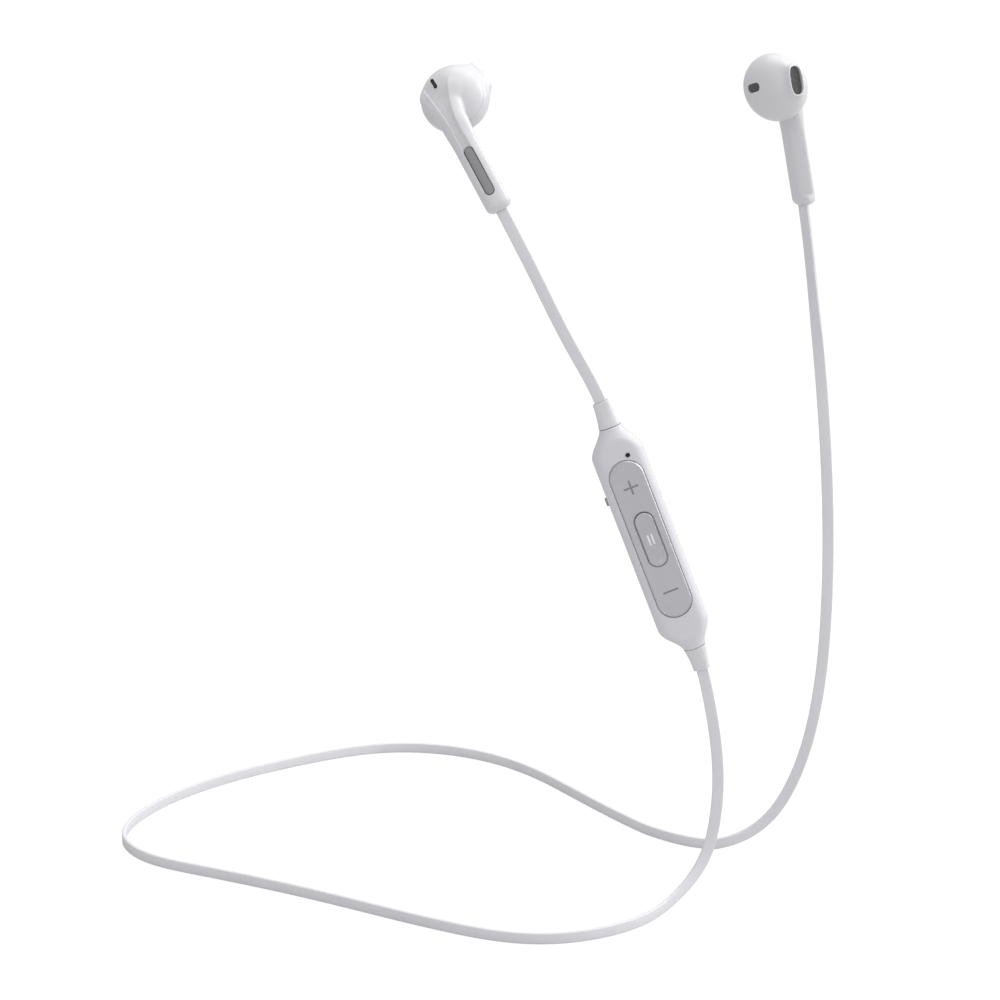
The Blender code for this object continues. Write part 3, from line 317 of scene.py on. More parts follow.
def boolean(body, tool, operation):
    body_ob = bpy.data.objects.new("body", body)
    tool_ob = bpy.data.objects.new("tool", tool)
    bpy.context.scene.collection.objects.link(body_ob)
    bpy.context.scene.collection.objects.link(tool_ob)
    modifier = body_ob.modifiers.new("cut", "BOOLEAN")
    modifier.operation = operation
    modifier.solver = "EXACT"
    modifier.object = tool_ob
    depsgraph = bpy.context.evaluated_depsgraph_get()
    depsgraph.update()
    result = bpy.data.meshes.new_from_object(body_ob.evaluated_get(depsgraph))
    bpy.data.objects.remove(body_ob, do_unlink=True)
    bpy.data.objects.remove(tool_ob, do_unlink=True)
    return result


# ------------------------------------------------------------------ outlines


def rounded_rect(mid_a, mid_b, size_a, size_b, radius=0.14, arc=4):
    """Outline with `arc` steps round each corner."""
    outline = []
    for sign_a, sign_b, start in ((1, 1, 0), (-1, 1, 90), (-1, -1, 180), (1, -1, 270)):
        for i in range(arc + 1):
            angle = math.radians(start + 90.0 * i / arc)
            outline.append((mid_a + sign_a * (size_a / 2 - radius) + radius * math.cos(angle),
                            mid_b + sign_b * (size_b / 2 - radius) + radius * math.sin(angle)))
    return outline


def pill(mid_a, mid_b, length, width, arc=40, side=40):
    """Stadium outline, long in a, with matching points at any size."""
    radius = width / 2.0
    reach = length / 2.0 - radius
    outline = []
    for sign in (1, -1):
        for i in range(arc):
            angle = -math.pi / 2 + math.pi * i / arc
            outline.append((mid_a + sign * (reach + radius * math.cos(angle)),
                            mid_b + sign * radius * math.sin(angle)))
        for i in range(side):
            outline.append((mid_a + sign * (reach - 2 * reach * (i / side)),
                            mid_b + sign * radius))
    return np.array(outline)


def circle(mid_a, mid_b, radius, count):
    return [(mid_a + radius * math.cos(2 * math.pi * i / count),
             mid_b + radius * math.sin(2 * math.pi * i / count)) for i in range(count)]


def superellipse(half_a, half_b, power, count):
    outline = []
    for i in range(count):
        angle = 2 * math.pi * (i + 0.5) / count
        cos, sin = math.cos(angle), math.sin(angle)
        outline.append((half_a * math.copysign(abs(cos) ** power, cos),
                        half_b * math.copysign(abs(sin) ** power, sin)))
    return outline


# ------------------------------------------------------------------ signed fields (inside < 0)


def smooth_max(first, second, blend):
    share = np.maximum(blend - np.abs(first - second), 0.0) / blend
    return np.maximum(first, second) + share * share * blend * 0.25


def smooth_min(first, second, blend):
    share = np.maximum(blend - np.abs(first - second), 0.0) / blend
    return np.minimum(first, second) - share * share * blend * 0.25


def ease(value):
    """Smooth step from 0 to 1."""
    value = np.clip(value, 0.0, 1.0)
    return value * value * (3.0 - 2.0 * value)


def pill_field(x, z, mid_x, mid_z, length, width, tilt=0.0):
    """Distance to a stadium whose long side is turned by tilt from z."""
    off_x, off_z = x - mid_x, z - mid_z
    along = -math.sin(tilt) * off_x + math.cos(tilt) * off_z
    across = math.cos(tilt) * off_x + math.sin(tilt) * off_z
    reach = length / 2.0 - width / 2.0
    return np.hypot(np.maximum(np.abs(along) - reach, 0.0), across) - width / 2.0


def port_field(along, out, half_along, half_out, radius):
    """Distance to a rounded rectangle about the port's middle."""
    return np.hypot(
        np.maximum(np.abs(along - PORT_AT[0]) - (half_along - radius), 0.0),
        np.maximum(np.abs(out - PORT_AT[1]) - (half_out - radius), 0.0)) - radius


def sample_grid(field, low, high, cell, block):
    """Field values on a grid, worked out only in blocks near the surface."""
    blocks = np.ceil((np.asarray(high, float) - low) / cell / block).astype(int) + 1
    centres = [low[axis] + (np.arange(blocks[axis]) + 0.5) * block * cell for axis in range(3)]
    grid = np.meshgrid(*centres, indexing="ij")
    coarse = field(np.stack([values.ravel() for values in grid], 1)).reshape(blocks)
    near = np.abs(coarse) < block * cell * 1.55
    sign = np.where(coarse < 0, -1.0, 1.0).astype(np.float32)
    for axis in range(3):
        near = np.repeat(near, block, axis=axis)
        sign = np.repeat(sign, block, axis=axis)
    grid_values = sign * 9.0    # any far value does away from the surface
    index = np.argwhere(near)
    near_values = np.empty(len(index), np.float32)
    batch = 400000
    for i in range(0, len(index), batch):
        near_values[i:i + batch] = field(low + index[i:i + batch] * cell)
    grid_values[near] = near_values
    return grid_values


def net_quads(inside, ids):
    """One quad round each grid edge that crosses the surface, wound outward."""
    quads = []
    for axis, (side_a, side_b) in enumerate(((1, 2), (2, 0), (0, 1))):
        lower = [slice(None)] * 3
        upper = [slice(None)] * 3
        lower[axis] = slice(0, -1)
        upper[axis] = slice(1, None)
        edges = np.argwhere(inside[tuple(lower)] != inside[tuple(upper)])
        kept = ((edges[:, side_a] > 0) & (edges[:, side_b] > 0)
                & (edges[:, side_a] < inside.shape[side_a] - 1)
                & (edges[:, side_b] < inside.shape[side_b] - 1))
        edges = edges[kept]
        starts_inside = inside[edges[:, 0], edges[:, 1], edges[:, 2]]
        corners = []
        for step_a, step_b in ((-1, -1), (0, -1), (0, 0), (-1, 0)):
            cell = edges.copy()
            cell[:, side_a] += step_a
            cell[:, side_b] += step_b
            corners.append(ids[cell[:, 0], cell[:, 1], cell[:, 2]])
        quad = np.stack(corners, 1)
        quad[~starts_inside] = quad[~starts_inside][:, ::-1]
        quads.append(quad)
    return np.concatenate(quads)


def settle(field, points, cell, nudge=0.02, passes=3):
    """Moves points onto the surface along the field's gradient."""
    for _ in range(passes):
        value = field(points)
        slope = np.stack([(field(points + step) - field(points - step)) / (2 * nudge)
                          for step in np.eye(3) * nudge], 1)
        steepness = np.maximum((slope ** 2).sum(1), 0.05)
        move = slope * (value / steepness)[:, None] * 0.9
        length = np.linalg.norm(move, axis=1)
        move *= np.minimum(1.0, 0.45 * cell / np.maximum(length, 1e-9))[:, None]
        points = points - move
    return points


def net(field, low, high, cell, block=6):
    """Closed quad skin of field < 0: each cut cell gives one point, moved onto the surface."""
    low = np.asarray(low, float)
    values = sample_grid(field, low, high, cell, block)
    inside = values < 0
    corners = [(i, j, k) for i in (0, 1) for j in (0, 1) for k in (0, 1)]
    filled = np.zeros(tuple(np.array(inside.shape) - 1), np.int8)
    for i, j, k in corners:
        filled += inside[i:inside.shape[0] - 1 + i, j:inside.shape[1] - 1 + j,
                         k:inside.shape[2] - 1 + k]
    cells = np.argwhere((filled > 0) & (filled < 8))
    ids = np.full(filled.shape, -1, np.int32)
    ids[cells[:, 0], cells[:, 1], cells[:, 2]] = np.arange(len(cells))
    total = np.zeros((len(cells), 3))
    hits = np.zeros(len(cells))
    for start in corners:
        for axis in range(3):
            if start[axis]:
                continue
            end = list(start)
            end[axis] = 1
            at_start = values[cells[:, 0] + start[0], cells[:, 1] + start[1],
                              cells[:, 2] + start[2]]
            at_end = values[cells[:, 0] + end[0], cells[:, 1] + end[1], cells[:, 2] + end[2]]
            cut = (at_start < 0) != (at_end < 0)
            share = np.where(cut, at_start / np.where(cut, at_start - at_end, 1.0), 0.0)
            crossing = np.tile(np.array(start, float), (len(cells), 1))
            crossing[:, axis] += share
            total[cut] += crossing[cut]
            hits[cut] += 1
    points = low + (cells + total / hits[:, None]) * cell
    return settle(field, points, cell), net_quads(inside, ids)


# ------------------------------------------------------------------ cable paths


def natural_spline(points, per_span):
    knots = np.asarray(points, float)
    gaps = np.linalg.norm(np.diff(knots, axis=0), axis=1)
    count = len(knots)
    matrix = np.zeros((count, count))
    right = np.zeros((count, 3))
    matrix[0, 0] = matrix[-1, -1] = 1.0
    for i in range(1, count - 1):
        matrix[i, i - 1] = gaps[i - 1]
        matrix[i, i] = 2 * (gaps[i - 1] + gaps[i])
        matrix[i, i + 1] = gaps[i]
        right[i] = 6 * ((knots[i + 1] - knots[i]) / gaps[i]
                        - (knots[i] - knots[i - 1]) / gaps[i - 1])
    bend = np.linalg.solve(matrix, right)
    path = []
    for i in range(count - 1):
        for k in range(per_span):
            after = k / per_span
            before = 1 - after
            path.append(before * knots[i] + after * knots[i + 1]
                        + ((before ** 3 - before) * bend[i] + (after ** 3 - after) * bend[i + 1])
                        * gaps[i] ** 2 / 6)
    path.append(knots[-1])
    return np.array(path)


class Run:
    """Centreline of a ribbon by distance, with the direction its wide face looks."""

    def __init__(self, points, face):
        self.points = natural_spline(points, per_span=48)
        self.points[:, 2] = np.maximum(self.points[:, 2], RIBBON_HALF_W)
        steps = np.linalg.norm(np.diff(self.points, axis=0), axis=1)
        self.dists = np.concatenate(([0.0], np.cumsum(steps)))
        self.length = self.dists[-1]
        self.face = face

    def at(self, dist):
        return np.array([np.interp(dist, self.dists, self.points[:, k]) for k in range(3)])

    def tangent(self, dist, reach=0.8):
        chord = self.at(min(dist + reach, self.length)) - self.at(max(dist - reach, 0.0))
        return chord / np.linalg.norm(chord)

    def nearest(self, point):
        """Distance along the run of the place nearest the point."""
        gaps = np.linalg.norm(self.points - np.asarray(point, float), axis=1)
        return float(self.dists[np.argmin(gaps)])

    def frame(self, dist):
        """Place, direction through the wide faces, and direction across them."""
        tangent = self.tangent(dist)
        through = self.face(dist, tangent)
        through = through - tangent * float(np.dot(through, tangent))
        through /= np.linalg.norm(through)
        return self.at(dist), through, np.cross(tangent, through)


def moved(point, direction, distance):
    return tuple(np.asarray(point, float) + np.asarray(direction) * distance)


HIDDEN_IN_POD, HIDDEN_IN_STEM = 4.5, 8.0    # cable length inside the bodies
POD_TAIL = POD_TOP + POD_ALONG * POD_LEN
REST = RIBBON_HALF_W                        # height of the centreline with the ribbon on edge

# Centreline (x, y, z) from inside the pod to inside the stem.
# The second point is the pod's end, the third the sleeve's end.
RIGHT_POINTS = [
    moved(POD_TOP, POD_ALONG, HIDDEN_IN_POD), tuple(POD_TOP), (34.2, -48.0, 140.5),
    (26.0, -47.9, 156.0), (17.9, -46.6, 171.9), RIGHT_EXIT,
    moved(RIGHT_EXIT, RIGHT_STEM, HIDDEN_IN_STEM)]
LEFT_POINTS = [
    moved(POD_TAIL, -POD_ALONG, HIDDEN_IN_POD), tuple(POD_TAIL), (62.0, -48.0, 67.4),
    (64.0, -48.0, 59.0), (67.0, -48.0, 36.0), (66.5, -48.0, 25.0), (63.0, -49.0, 12.0),
    (55.5, -54.0, 4.0), (43.5, -66.0, REST), (17.5, -75.5, REST), (-6.5, -67.5, REST),
    (-40.0, -48.0, REST), (-76.5, -29.0, REST), (-93.5, -18.5, REST),
    (-100.5, -6.0, REST), (-97.5, 13.5, REST), (-82.5, 36.0, REST),
    (-54.0, 58.5, REST), (-25.0, 70.0, REST), (2.5, 62.5, REST),
    (27.0, 35.5, REST), (50.5, 1.5, REST), (69.0, -10.0, REST), (81.5, -10.0, 6.5),
    (92.0, -11.0, 22.5), (97.0, -12.5, 43.0), (99.0, -14.5, 72.0), (98.0, -16.5, 108.0),
    (95.0, -18.5, 140.5), (91.5, -20.5, 168.0), LEFT_EXIT,
    moved(LEFT_EXIT, LEFT_STEM, HIDDEN_IN_STEM)]


def turn(share, before, after):
    return (1 - share) * np.array(before) + share * np.array(after)


def right_face(dist, tangent):
    """Looks along -y at the pod and turns to the earbud's outer face."""
    return turn(ease((dist - 30.0) / 25.0), (0.0, -1.0, 0.0), RIGHT_OUT)


def left_face(dist, tangent):
    """Looks along -y at the pod, level round the floor loop, then to the earbud's outer face."""
    level = np.array((-tangent[1], tangent[0], 0.0))
    size = np.linalg.norm(level)
    level = level / size if size > 1e-6 else np.array((0.0, -1.0, 0.0))
    if dist < 85.0:
        return turn(ease((dist - 55.0) / 30.0), (0.0, -1.0, 0.0), level)
    if dist > 552.0:
        upright = turn(ease((dist - 655.0) / 38.0), (0.0, 1.0, 0.0), LEFT_OUT)
        return turn(ease((dist - 552.0) / 20.0), level, upright)
    return level


RIGHT_RUN = Run(RIGHT_POINTS, right_face)
LEFT_RUN = Run(LEFT_POINTS, left_face)
RIGHT_SEAM, RIGHT_START = (RIGHT_RUN.nearest(point) for point in RIGHT_POINTS[1:3])
LEFT_SEAM, LEFT_START = (LEFT_RUN.nearest(point) for point in LEFT_POINTS[1:3])

# Joints by distance from the sleeve's end: the bends, then the twist below the earbud
RIGHT_BENDS, RIGHT_TWIST = [10.0, 31.0], 48.0
LEFT_BENDS = [12.0, 66.0, 140.0, 215.0, 285.0, 355.0, 430.0, 505.0, 575.0, 640.0]
LEFT_TWIST = LEFT_RUN.nearest(LEFT_EXIT) - LEFT_START - 8.0

# ------------------------------------------------------------------ ribbons


def ribbon(name, run, begin, end):
    """One moulded length of the flat cable, with a ring about every millimetre."""
    count = max(2, int(round(end - begin)))
    section = rounded_rect(0.0, 0.0, 2 * RIBBON_HALF_W, 2 * RIBBON_HALF_T, RIBBON_CORNER)
    rings = []
    for i in range(count + 1):
        place, through, across = run.frame(begin + (end - begin) * i / count)
        rings.append([place + across * wide + through * thick for wide, thick in section])
    return show(name, to_mesh(*loft(rings)), SOFT, sharp=50.0)


def bend_between(ob, run, begin, end, nodes):
    """Bakes the ribbon's placement into its mesh and hides the named CAD nodes; no bend is set up
    between the two distances.
    """
    tuple(to_metres(run.at(begin)))
    tuple(to_metres(run.at(end)))
    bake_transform(ob)
    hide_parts(*nodes)


def cable(side, run, start, bends, twist, reach, end_share):
    """Ribbons from pod to earbud, each centred on a bend and cut midway to the next.

    reach caps the span worked out either side of each joint, where no bend is made; end_share
    places the last cut between the last bend and the twist.
    """
    cuts = [start + 0.5 * (bends[i] + bends[i + 1]) for i in range(len(bends) - 1)]
    last = start + bends[-1] + (twist - bends[-1]) * end_share
    begins = [0.0] + cuts
    ends = cuts + [last]
    gap = 0.3
    for i, bend in enumerate(bends):
        first = i == 0
        nodes = ["%s_cable_%d" % (side, i + 1)]
        if first:
            nodes.append("%s_cable_root" % side)
        joint = start + bend
        free = joint - (start + 1.5 if first else begins[i])
        half = min(free, ends[i] - joint, reach) - gap
        ob = ribbon("%s_ribbon_%02d" % (side, i + 1), run, begins[i], ends[i])
        bend_between(ob, run, joint - half, joint + half, nodes)
    ob = ribbon("%s_ribbon_end" % side, run, last, run.length - 1.5)
    bend_between(ob, run, last + gap, start + twist + 7.2, ["%s_cable_tail" % side])


cable("right", RIGHT_RUN, RIGHT_START, RIGHT_BENDS, RIGHT_TWIST, reach=9.0, end_share=0.45)
cable("left", LEFT_RUN, LEFT_START, LEFT_BENDS, LEFT_TWIST, reach=15.0, end_share=0.5)

# ------------------------------------------------------------------ sleeves at the pod's ends

# Half width, half thickness and superellipse power of the sleeve's outside
SLEEVE_WIDE = (3.07, 2.62, 0.86)
SLEEVE_MOUTH = (2.27, 1.63, 0.64)
SLEEVE_PLUG = (2.3, 1.6, 0.7)           # part inside the pod
SLEEVE_BORE = (RIBBON_HALF_W + 0.14, RIBBON_HALF_T + 0.14, 0.35)
PLUG_DEPTH = 2.0


def sleeve(name, run, seam, end, node):
    way = 1.0 if end > seam else -1.0

    def ring(dist, half_w, half_t, power):
        place, through, across = run.frame(dist)
        return [place + across * wide + through * thick
                for wide, thick in superellipse(half_w, half_t, power, 72)]

    outside = seam + 0.13 * way
    span = end - outside
    rings = [ring(seam - PLUG_DEPTH * way, *SLEEVE_PLUG), ring(outside, *SLEEVE_PLUG)]
    wide_w, wide_t, wide_power = SLEEVE_WIDE
    mouth_w, mouth_t, mouth_power = SLEEVE_MOUTH
    # rounded shoulder at the seam
    radius = 0.16
    for k in range(4):
        angle = math.radians(90.0 * k / 3)
        inset = radius * (1 - math.sin(angle))
        dist = outside + way * radius * (1 - math.cos(angle)) + 0.01 * way
        rings.append(ring(dist, wide_w - inset, wide_t - inset, wide_power))
    # taper, quick at first
    steps = 26
    for i in range(1, steps + 1):
        share = 0.04 + 0.93 * i / steps
        taper = 1 - (1 - share) ** 1.6
        rings.append(ring(outside + span * share, wide_w - (wide_w - mouth_w) * taper,
                          wide_t - (wide_t - mouth_t) * taper,
                          wide_power - (wide_power - mouth_power) * share))
    # rounded mouth
    radius = 0.22
    for k in range(1, 5):
        angle = math.radians(90.0 * k / 4)
        inset = radius * (1 - math.cos(angle))
        dist = outside + span * 0.97 + span * 0.03 * math.sin(angle)
        rings.append(ring(dist, mouth_w - inset, mouth_t - inset, mouth_power))
    rings.append(ring(end - 0.02 * way, *SLEEVE_BORE))
    rings.append(ring(seam - PLUG_DEPTH * way, *SLEEVE_BORE))
    ob = show(name, to_mesh(*loft(rings, around=True)), SLEEVE, sharp=50.0)
    attach(ob, "control_pod", "white_soft", node)


sleeve("sleeve_upper", RIGHT_RUN, RIGHT_SEAM, RIGHT_START, "strain_relief_upper")
sleeve("sleeve_lower", LEFT_RUN, LEFT_SEAM, LEFT_START, "strain_relief_lower")

# ------------------------------------------------------------------ pod casing
# Pod fields take points as (along, across, out).

POD_WALL = 1.1
CAVITY_END = 4.2        # solid length at each end
POD_CELL = 0.17


def pod_points(points):
    return place_points(points, POD_ALONG, POD_ACROSS, POD_OUT, POD_TOP)


def pod_mesh(rings, around=False):
    verts, faces = loft(rings, around)
    return to_mesh(pod_points(verts), faces)


def swell(along, reach):
    """0 at the pod's ends, 1 from `reach` inward."""
    share = np.clip(np.minimum(along, POD_LEN - along) / reach, 0.0, 1.0)
    return 0.8 * ease(share) + 0.2 * (1 - (1 - share) ** 2)


def pod_body(points, inset=0.0):
    """Endless body: round at the ends, squarer between, with flat faces."""
    along, across, out = points[:, 0], points[:, 1], points[:, 2]
    widen = swell(along, 7.6)
    deepen = swell(along, 4.9)
    half_w = POD_END + (POD_HALF_W - POD_END) * widen - inset
    half_d = POD_END - 0.15 + (POD_HALF_D - POD_END + 0.15) * deepen - inset
    power = 2.0 + 1.0 * widen
    radial = ((np.abs(across - POD_MID * widen) / half_w) ** power
              + (np.abs(out) / half_d) ** power) ** (1 / power)
    body = (radial - 1.0) * np.minimum(half_w, half_d)
    return smooth_max(body, np.abs(out) - (POD_FACE - inset), 0.3)


def pod_hollow(points):
    """Main cavity and the bore that runs out through both ends."""
    along, across, out = points[:, 0], points[:, 1], points[:, 2]
    ends = np.maximum(CAVITY_END - along, along - (POD_LEN - CAVITY_END))
    cavity = np.maximum(pod_body(points, POD_WALL), ends)
    half_w, half_d, power = 2.6, 1.9, 2.8
    bore = ((np.abs(across) / half_w) ** power
            + (np.abs(out) / half_d) ** power) ** (1 / power)
    return np.minimum(cavity, (bore - 1.0) * half_d)


def pod_shell(points):
    along = points[:, 0]
    body = smooth_max(pod_body(points), np.maximum(-along, along - POD_LEN), 0.25)
    return np.maximum(body, -pod_hollow(points))


def front_casing(points):
    """Key side, with the key plate's slot and the microphone hole."""
    along, across, out = points[:, 0], points[:, 1], points[:, 2]
    half = smooth_max(pod_shell(points), 1.26 - out, 0.16)
    slot = pill_field(across, along, POD_MID, KEYS_AT, length=45.38, width=9.58)
    half = smooth_max(half, -np.maximum(slot, 2.0 - out), 0.16)
    hole = np.hypot(along - MIC_AT[0], across - MIC_AT[1]) - 0.86
    return np.maximum(half, -np.maximum(hole, 2.0 - out))


def rear_casing(points):
    """Side away from the keys, with the port's opening in its edge."""
    along, across, out = points[:, 0], points[:, 1], points[:, 2]
    half = smooth_max(pod_shell(points), out - 1.14, 0.16)
    port = port_field(along, out, half_along=5.3, half_out=1.88, radius=0.7)
    return smooth_max(half, -np.maximum(port, across + 5.0), 0.14)


# name, field, range of out, CAD node
for name, field, low_out, high_out, node in (
        ("pod_front_shell", front_casing, 0.9, 4.5, "pod_front_casing"),
        ("pod_rear_shell", rear_casing, -4.5, 1.5, "pod_rear_casing")):
    points, quads = net(field, (-0.6, -8.2, low_out), (POD_LEN + 0.6, 7.0, high_out), POD_CELL)
    ob = show(name, to_mesh(pod_points(points), quads), CASE, sharp=55.0, fix=False)
    attach(ob, "control_pod", "white_casing", node)

# ------------------------------------------------------------------ key plate

KEY_TOP = 4.25
PLATE_SIZE = (45.0, 9.2)
WINDOW_SIZE = (15.62, 5.32)     # opening for the play key
BUTTON_SIZE = (15.22, 4.92)
KEY_PITCH = 15.1                # plus and minus either side of the middle
PLUS_AT, MINUS_AT = KEYS_AT - KEY_PITCH, KEYS_AT + KEY_PITCH
ENGRAVED = (3.86, 4.6)          # floor and top of the engraving cutters
DISH_HALF, DISH_DEPTH = 4.3, 0.24
PIVOT_OUT = 2.1
PLATE_UNDER = 3.6               # stems and lugs reach up to here, inside the plate

# (growth of the outline, height)
PLATE_EDGE = (
    (0.16, 3.15), (0.16, 3.43), (0.13, 3.46), (0.0, 3.46),
    (0.0, KEY_TOP - 0.30), (-0.025, KEY_TOP - 0.27), (-0.235, KEY_TOP - 0.02))
WINDOW_EDGE = ((0.0, 3.42), (-0.13, 3.40), (-0.13, 3.15))
BUTTON_EDGE = (
    (0.32, 2.68), (0.32, 2.94), (0.29, 2.97), (0.0, 2.97), (0.0, KEY_TOP - 0.24),
    (-0.05, KEY_TOP - 0.13), (-0.17, KEY_TOP - 0.02), (-0.30, KEY_TOP))
# (radius, height)
PLATE_STEM = ((0.9, 1.95), (1.06, 2.0), (1.1, 2.2), (1.1, PLATE_UNDER))
BUTTON_POST = ((1.0, 1.95), (1.15, 2.0), (1.2, 2.15), (1.2, 2.75))


def at_height(outline, height):
    """Ring from an (along, across) outline; height is one value or one per point."""
    return np.column_stack((outline, np.broadcast_to(height, (len(outline),))))


def key_pill(size, grow):
    return pill(KEYS_AT, POD_MID, size[0] + 2 * grow, size[1] + 2 * grow)


def pill_rings(size, profile):
    return [at_height(key_pill(size, grow), height) for grow, height in profile]


def round_rings(along, across, profile, count):
    return [at_height(circle(along, across, radius, count), height)
            for radius, height in profile]


def dished(outline):
    """Height of the plate's top, lowest along its middle line."""
    offset = np.clip(np.abs(outline[:, 1] - POD_MID) / DISH_HALF, 0, 1)
    return KEY_TOP - DISH_DEPTH * (1 - offset ** 2)


def solid(rings):
    """Pod mesh with outward faces, ready for a boolean."""
    mesh = pod_mesh(rings)
    face_outward(mesh)
    return mesh


def slab(outline, low, high):
    return solid([at_height(outline, low), at_height(outline, high)])


def plate_blank():
    """Dished plate with the play key's window."""
    rings = pill_rings(PLATE_SIZE, PLATE_EDGE)
    outer, inner = key_pill(PLATE_SIZE, -0.27), key_pill(WINDOW_SIZE, 0.26)
    for i in range(15):
        share = i / 14.0
        outline = outer * (1 - share) + inner * share
        rings.append(at_height(outline, dished(outline)))
    rim = dished(inner)
    rings.append(at_height(key_pill(WINDOW_SIZE, 0.05), rim - 0.16))
    rings.append(at_height(key_pill(WINDOW_SIZE, 0.0), rim - 0.24))
    rings += pill_rings(WINDOW_SIZE, WINDOW_EDGE)
    mesh = pod_mesh(rings, around=True)
    face_outward(mesh)
    return mesh


def engraving():
    """Cutters for the plus and minus marks."""
    cuts = boolean(slab(rounded_rect(PLUS_AT, POD_MID, 0.5, 4.0), *ENGRAVED),
                   slab(rounded_rect(PLUS_AT, POD_MID, 4.0, 0.5), *ENGRAVED), "UNION")
    minus = slab(rounded_rect(MINUS_AT, POD_MID, 0.5, 4.2), *ENGRAVED)
    return boolean(cuts, minus, "UNION")


def pivot_lug(side):
    low, high = sorted((POD_MID + side * 2.85, POD_MID + side * 3.7))
    left, right = KEYS_AT - 0.7, KEYS_AT + 0.7
    return slab([(left, low), (right, low), (right, high), (left, high)],
                PIVOT_OUT - 0.5, PLATE_UNDER)


def pivot_pin(side):
    outline = circle(KEYS_AT, PIVOT_OUT, 0.42, 24)
    return solid([[(along, across, out) for along, out in outline]
                  for across in sorted((POD_MID + side * 3.4, POD_MID + side * 4.72))])


def rocker_plate():
    plate = boolean(plate_blank(), engraving(), "DIFFERENCE")
    for side in (-1, 1):
        plate = boolean(plate, pivot_lug(side), "UNION")
        plate = boolean(plate, pivot_pin(side), "UNION")
        stem = solid(round_rings(KEYS_AT + side * KEY_PITCH, POD_MID, PLATE_STEM, 32))
        plate = boolean(plate, stem, "UNION")
    ob = show("rocker_plate", plate, KEYS, sharp=28.0, fix=False)
    attach(ob, "volume_rocker", "key_grey", "volume_rocker_plate")


def play_key():
    """Button with a shallow finger dish, its post and the two pause bars."""
    rings = pill_rings(BUTTON_SIZE, BUTTON_EDGE)
    for i in range(1, 11):
        inset = 0.30 + (1.72 - 0.30) * i / 10.0
        height = KEY_TOP - 0.20 * ease((inset - 0.30) / 1.9)
        rings.append(at_height(key_pill(BUTTON_SIZE, -inset), height))
    ob = show("play_key", pod_mesh(rings), BUTTON, sharp=32.0)
    attach(ob, "play_key", "key_grey", "play_button")
    post = pod_mesh(round_rings(KEYS_AT, POD_MID, BUTTON_POST, 32))
    attach(show("play_key_post", post, BUTTON, sharp=32.0), "play_key", "key_grey")
    for side, offset in (("left", -0.52), ("right", 0.52)):
        rings = [at_height(rounded_rect(KEYS_AT, POD_MID + offset, 2.9 - trim, 0.46 - trim, 0.12),
                           height)
                 for height, trim in ((3.98, 0.0), (4.075, 0.0), (4.10, 0.07))]
        ob = show("pause_mark_%s" % side, pod_mesh(rings), GLYPH, sharp=30.0)
        attach(ob, "play_key", "key_grey")


def microphone():
    """Bezel ring and the cloth at its floor; profiles are (radius, height)."""
    bezel = ((0.88, 2.95), (0.88, 3.93), (0.84, 4.0), (0.82, 4.02),
             (0.71, 4.02), (0.68, 4.0), (0.655, 3.93), (0.655, 2.95))
    cloth = ((0.64, 3.02), (0.64, 3.10), (0.3, 3.13))
    ob = show("mic_bezel", pod_mesh(round_rings(*MIC_AT, bezel, 56), around=True), CASE)
    attach(ob, "control_pod", "white_casing")
    ob = show("mic_cloth", pod_mesh(round_rings(*MIC_AT, cloth, 56)), DARK)
    attach(ob, "control_pod", "mesh_black")


def engraving_fills():
    """Dark fill in the floor of the marks; the plus's long bar is in two, either side."""
    # name, place along, length along, length across
    for name, along, size_along, size_across in (
            ("plus_fill_across", PLUS_AT, 0.48, 3.98),
            ("minus_fill", MINUS_AT, 0.48, 4.18),
            ("plus_fill_along_1", PLUS_AT - 1.13, 1.72, 0.48),
            ("plus_fill_along_2", PLUS_AT + 1.13, 1.72, 0.48)):
        outline = rounded_rect(along, POD_MID, size_along, size_across, 0.13)
        fill = pod_mesh([at_height(outline, height) for height in (3.855, 3.90)])
        attach(show(name, fill, MARKS, sharp=30.0), "volume_rocker", "key_grey")


rocker_plate()
play_key()
microphone()
engraving_fills()

# ------------------------------------------------------------------ charging cover


def cover_field(points):
    """Thin piece of the pod's skin that fills the port's opening."""
    along, across, out = points[:, 0], points[:, 1], points[:, 2]
    skin = pod_body(points)
    layer = np.maximum(skin - 0.02, -(skin + 0.8))
    layer = np.maximum(layer, across + 4.0)
    outline = port_field(along, out, half_along=5.08, half_out=1.68, radius=0.6)
    return smooth_max(layer, outline, 0.16)


def charge_cover():
    points, quads = net(cover_field, (17.2, -8.8, -3.3), (28.4, -5.4, 0.9), cell=0.1)
    mesh = to_mesh(pod_points(points), quads)
    ob = show("charge_cover", mesh, SLEEVE, sharp=55.0, fix=False)
    attach(ob, "port_flap", "white_soft", "port_cover")
    # small raised lip, dark grey as painted shade on the tab's edge: place across, inset of the
    # outline
    rings = []
    for across, inset in ((-7.1, 0.0), (-8.12, 0.0), (-8.2, 0.04), (-8.24, 0.12)):
        outline = rounded_rect(19.1, -0.95, 2.2 - 2 * inset, 1.2 - 2 * inset,
                               radius=0.3 - inset * 0.6, arc=6)
        rings.append([(along, across, out) for along, out in outline])
    attach(show("cover_lip", pod_mesh(rings), SHADED_LIP, sharp=35.0), "port_flap", "white_soft")


charge_cover()

# ------------------------------------------------------------------ earbud covers

BUD_WALL = 0.78
BUD_CELL = 0.16
SEAM_GAP = 0.006                    # each cover stops this far short of RIM_Y
SLOT_AT, SLOT_TILT = (-0.1, 38.95), math.radians(6.5)       # rear slot (x, z)
INLAY_Z, INLAY_LEN = 11.6, 13.9
VENT_AT, VENT_TILT = (0.85, 35.5), math.radians(-14.0)      # ear-side vent (x, z)
VENT_COS, VENT_SIN = math.cos(VENT_TILT), math.sin(VENT_TILT)

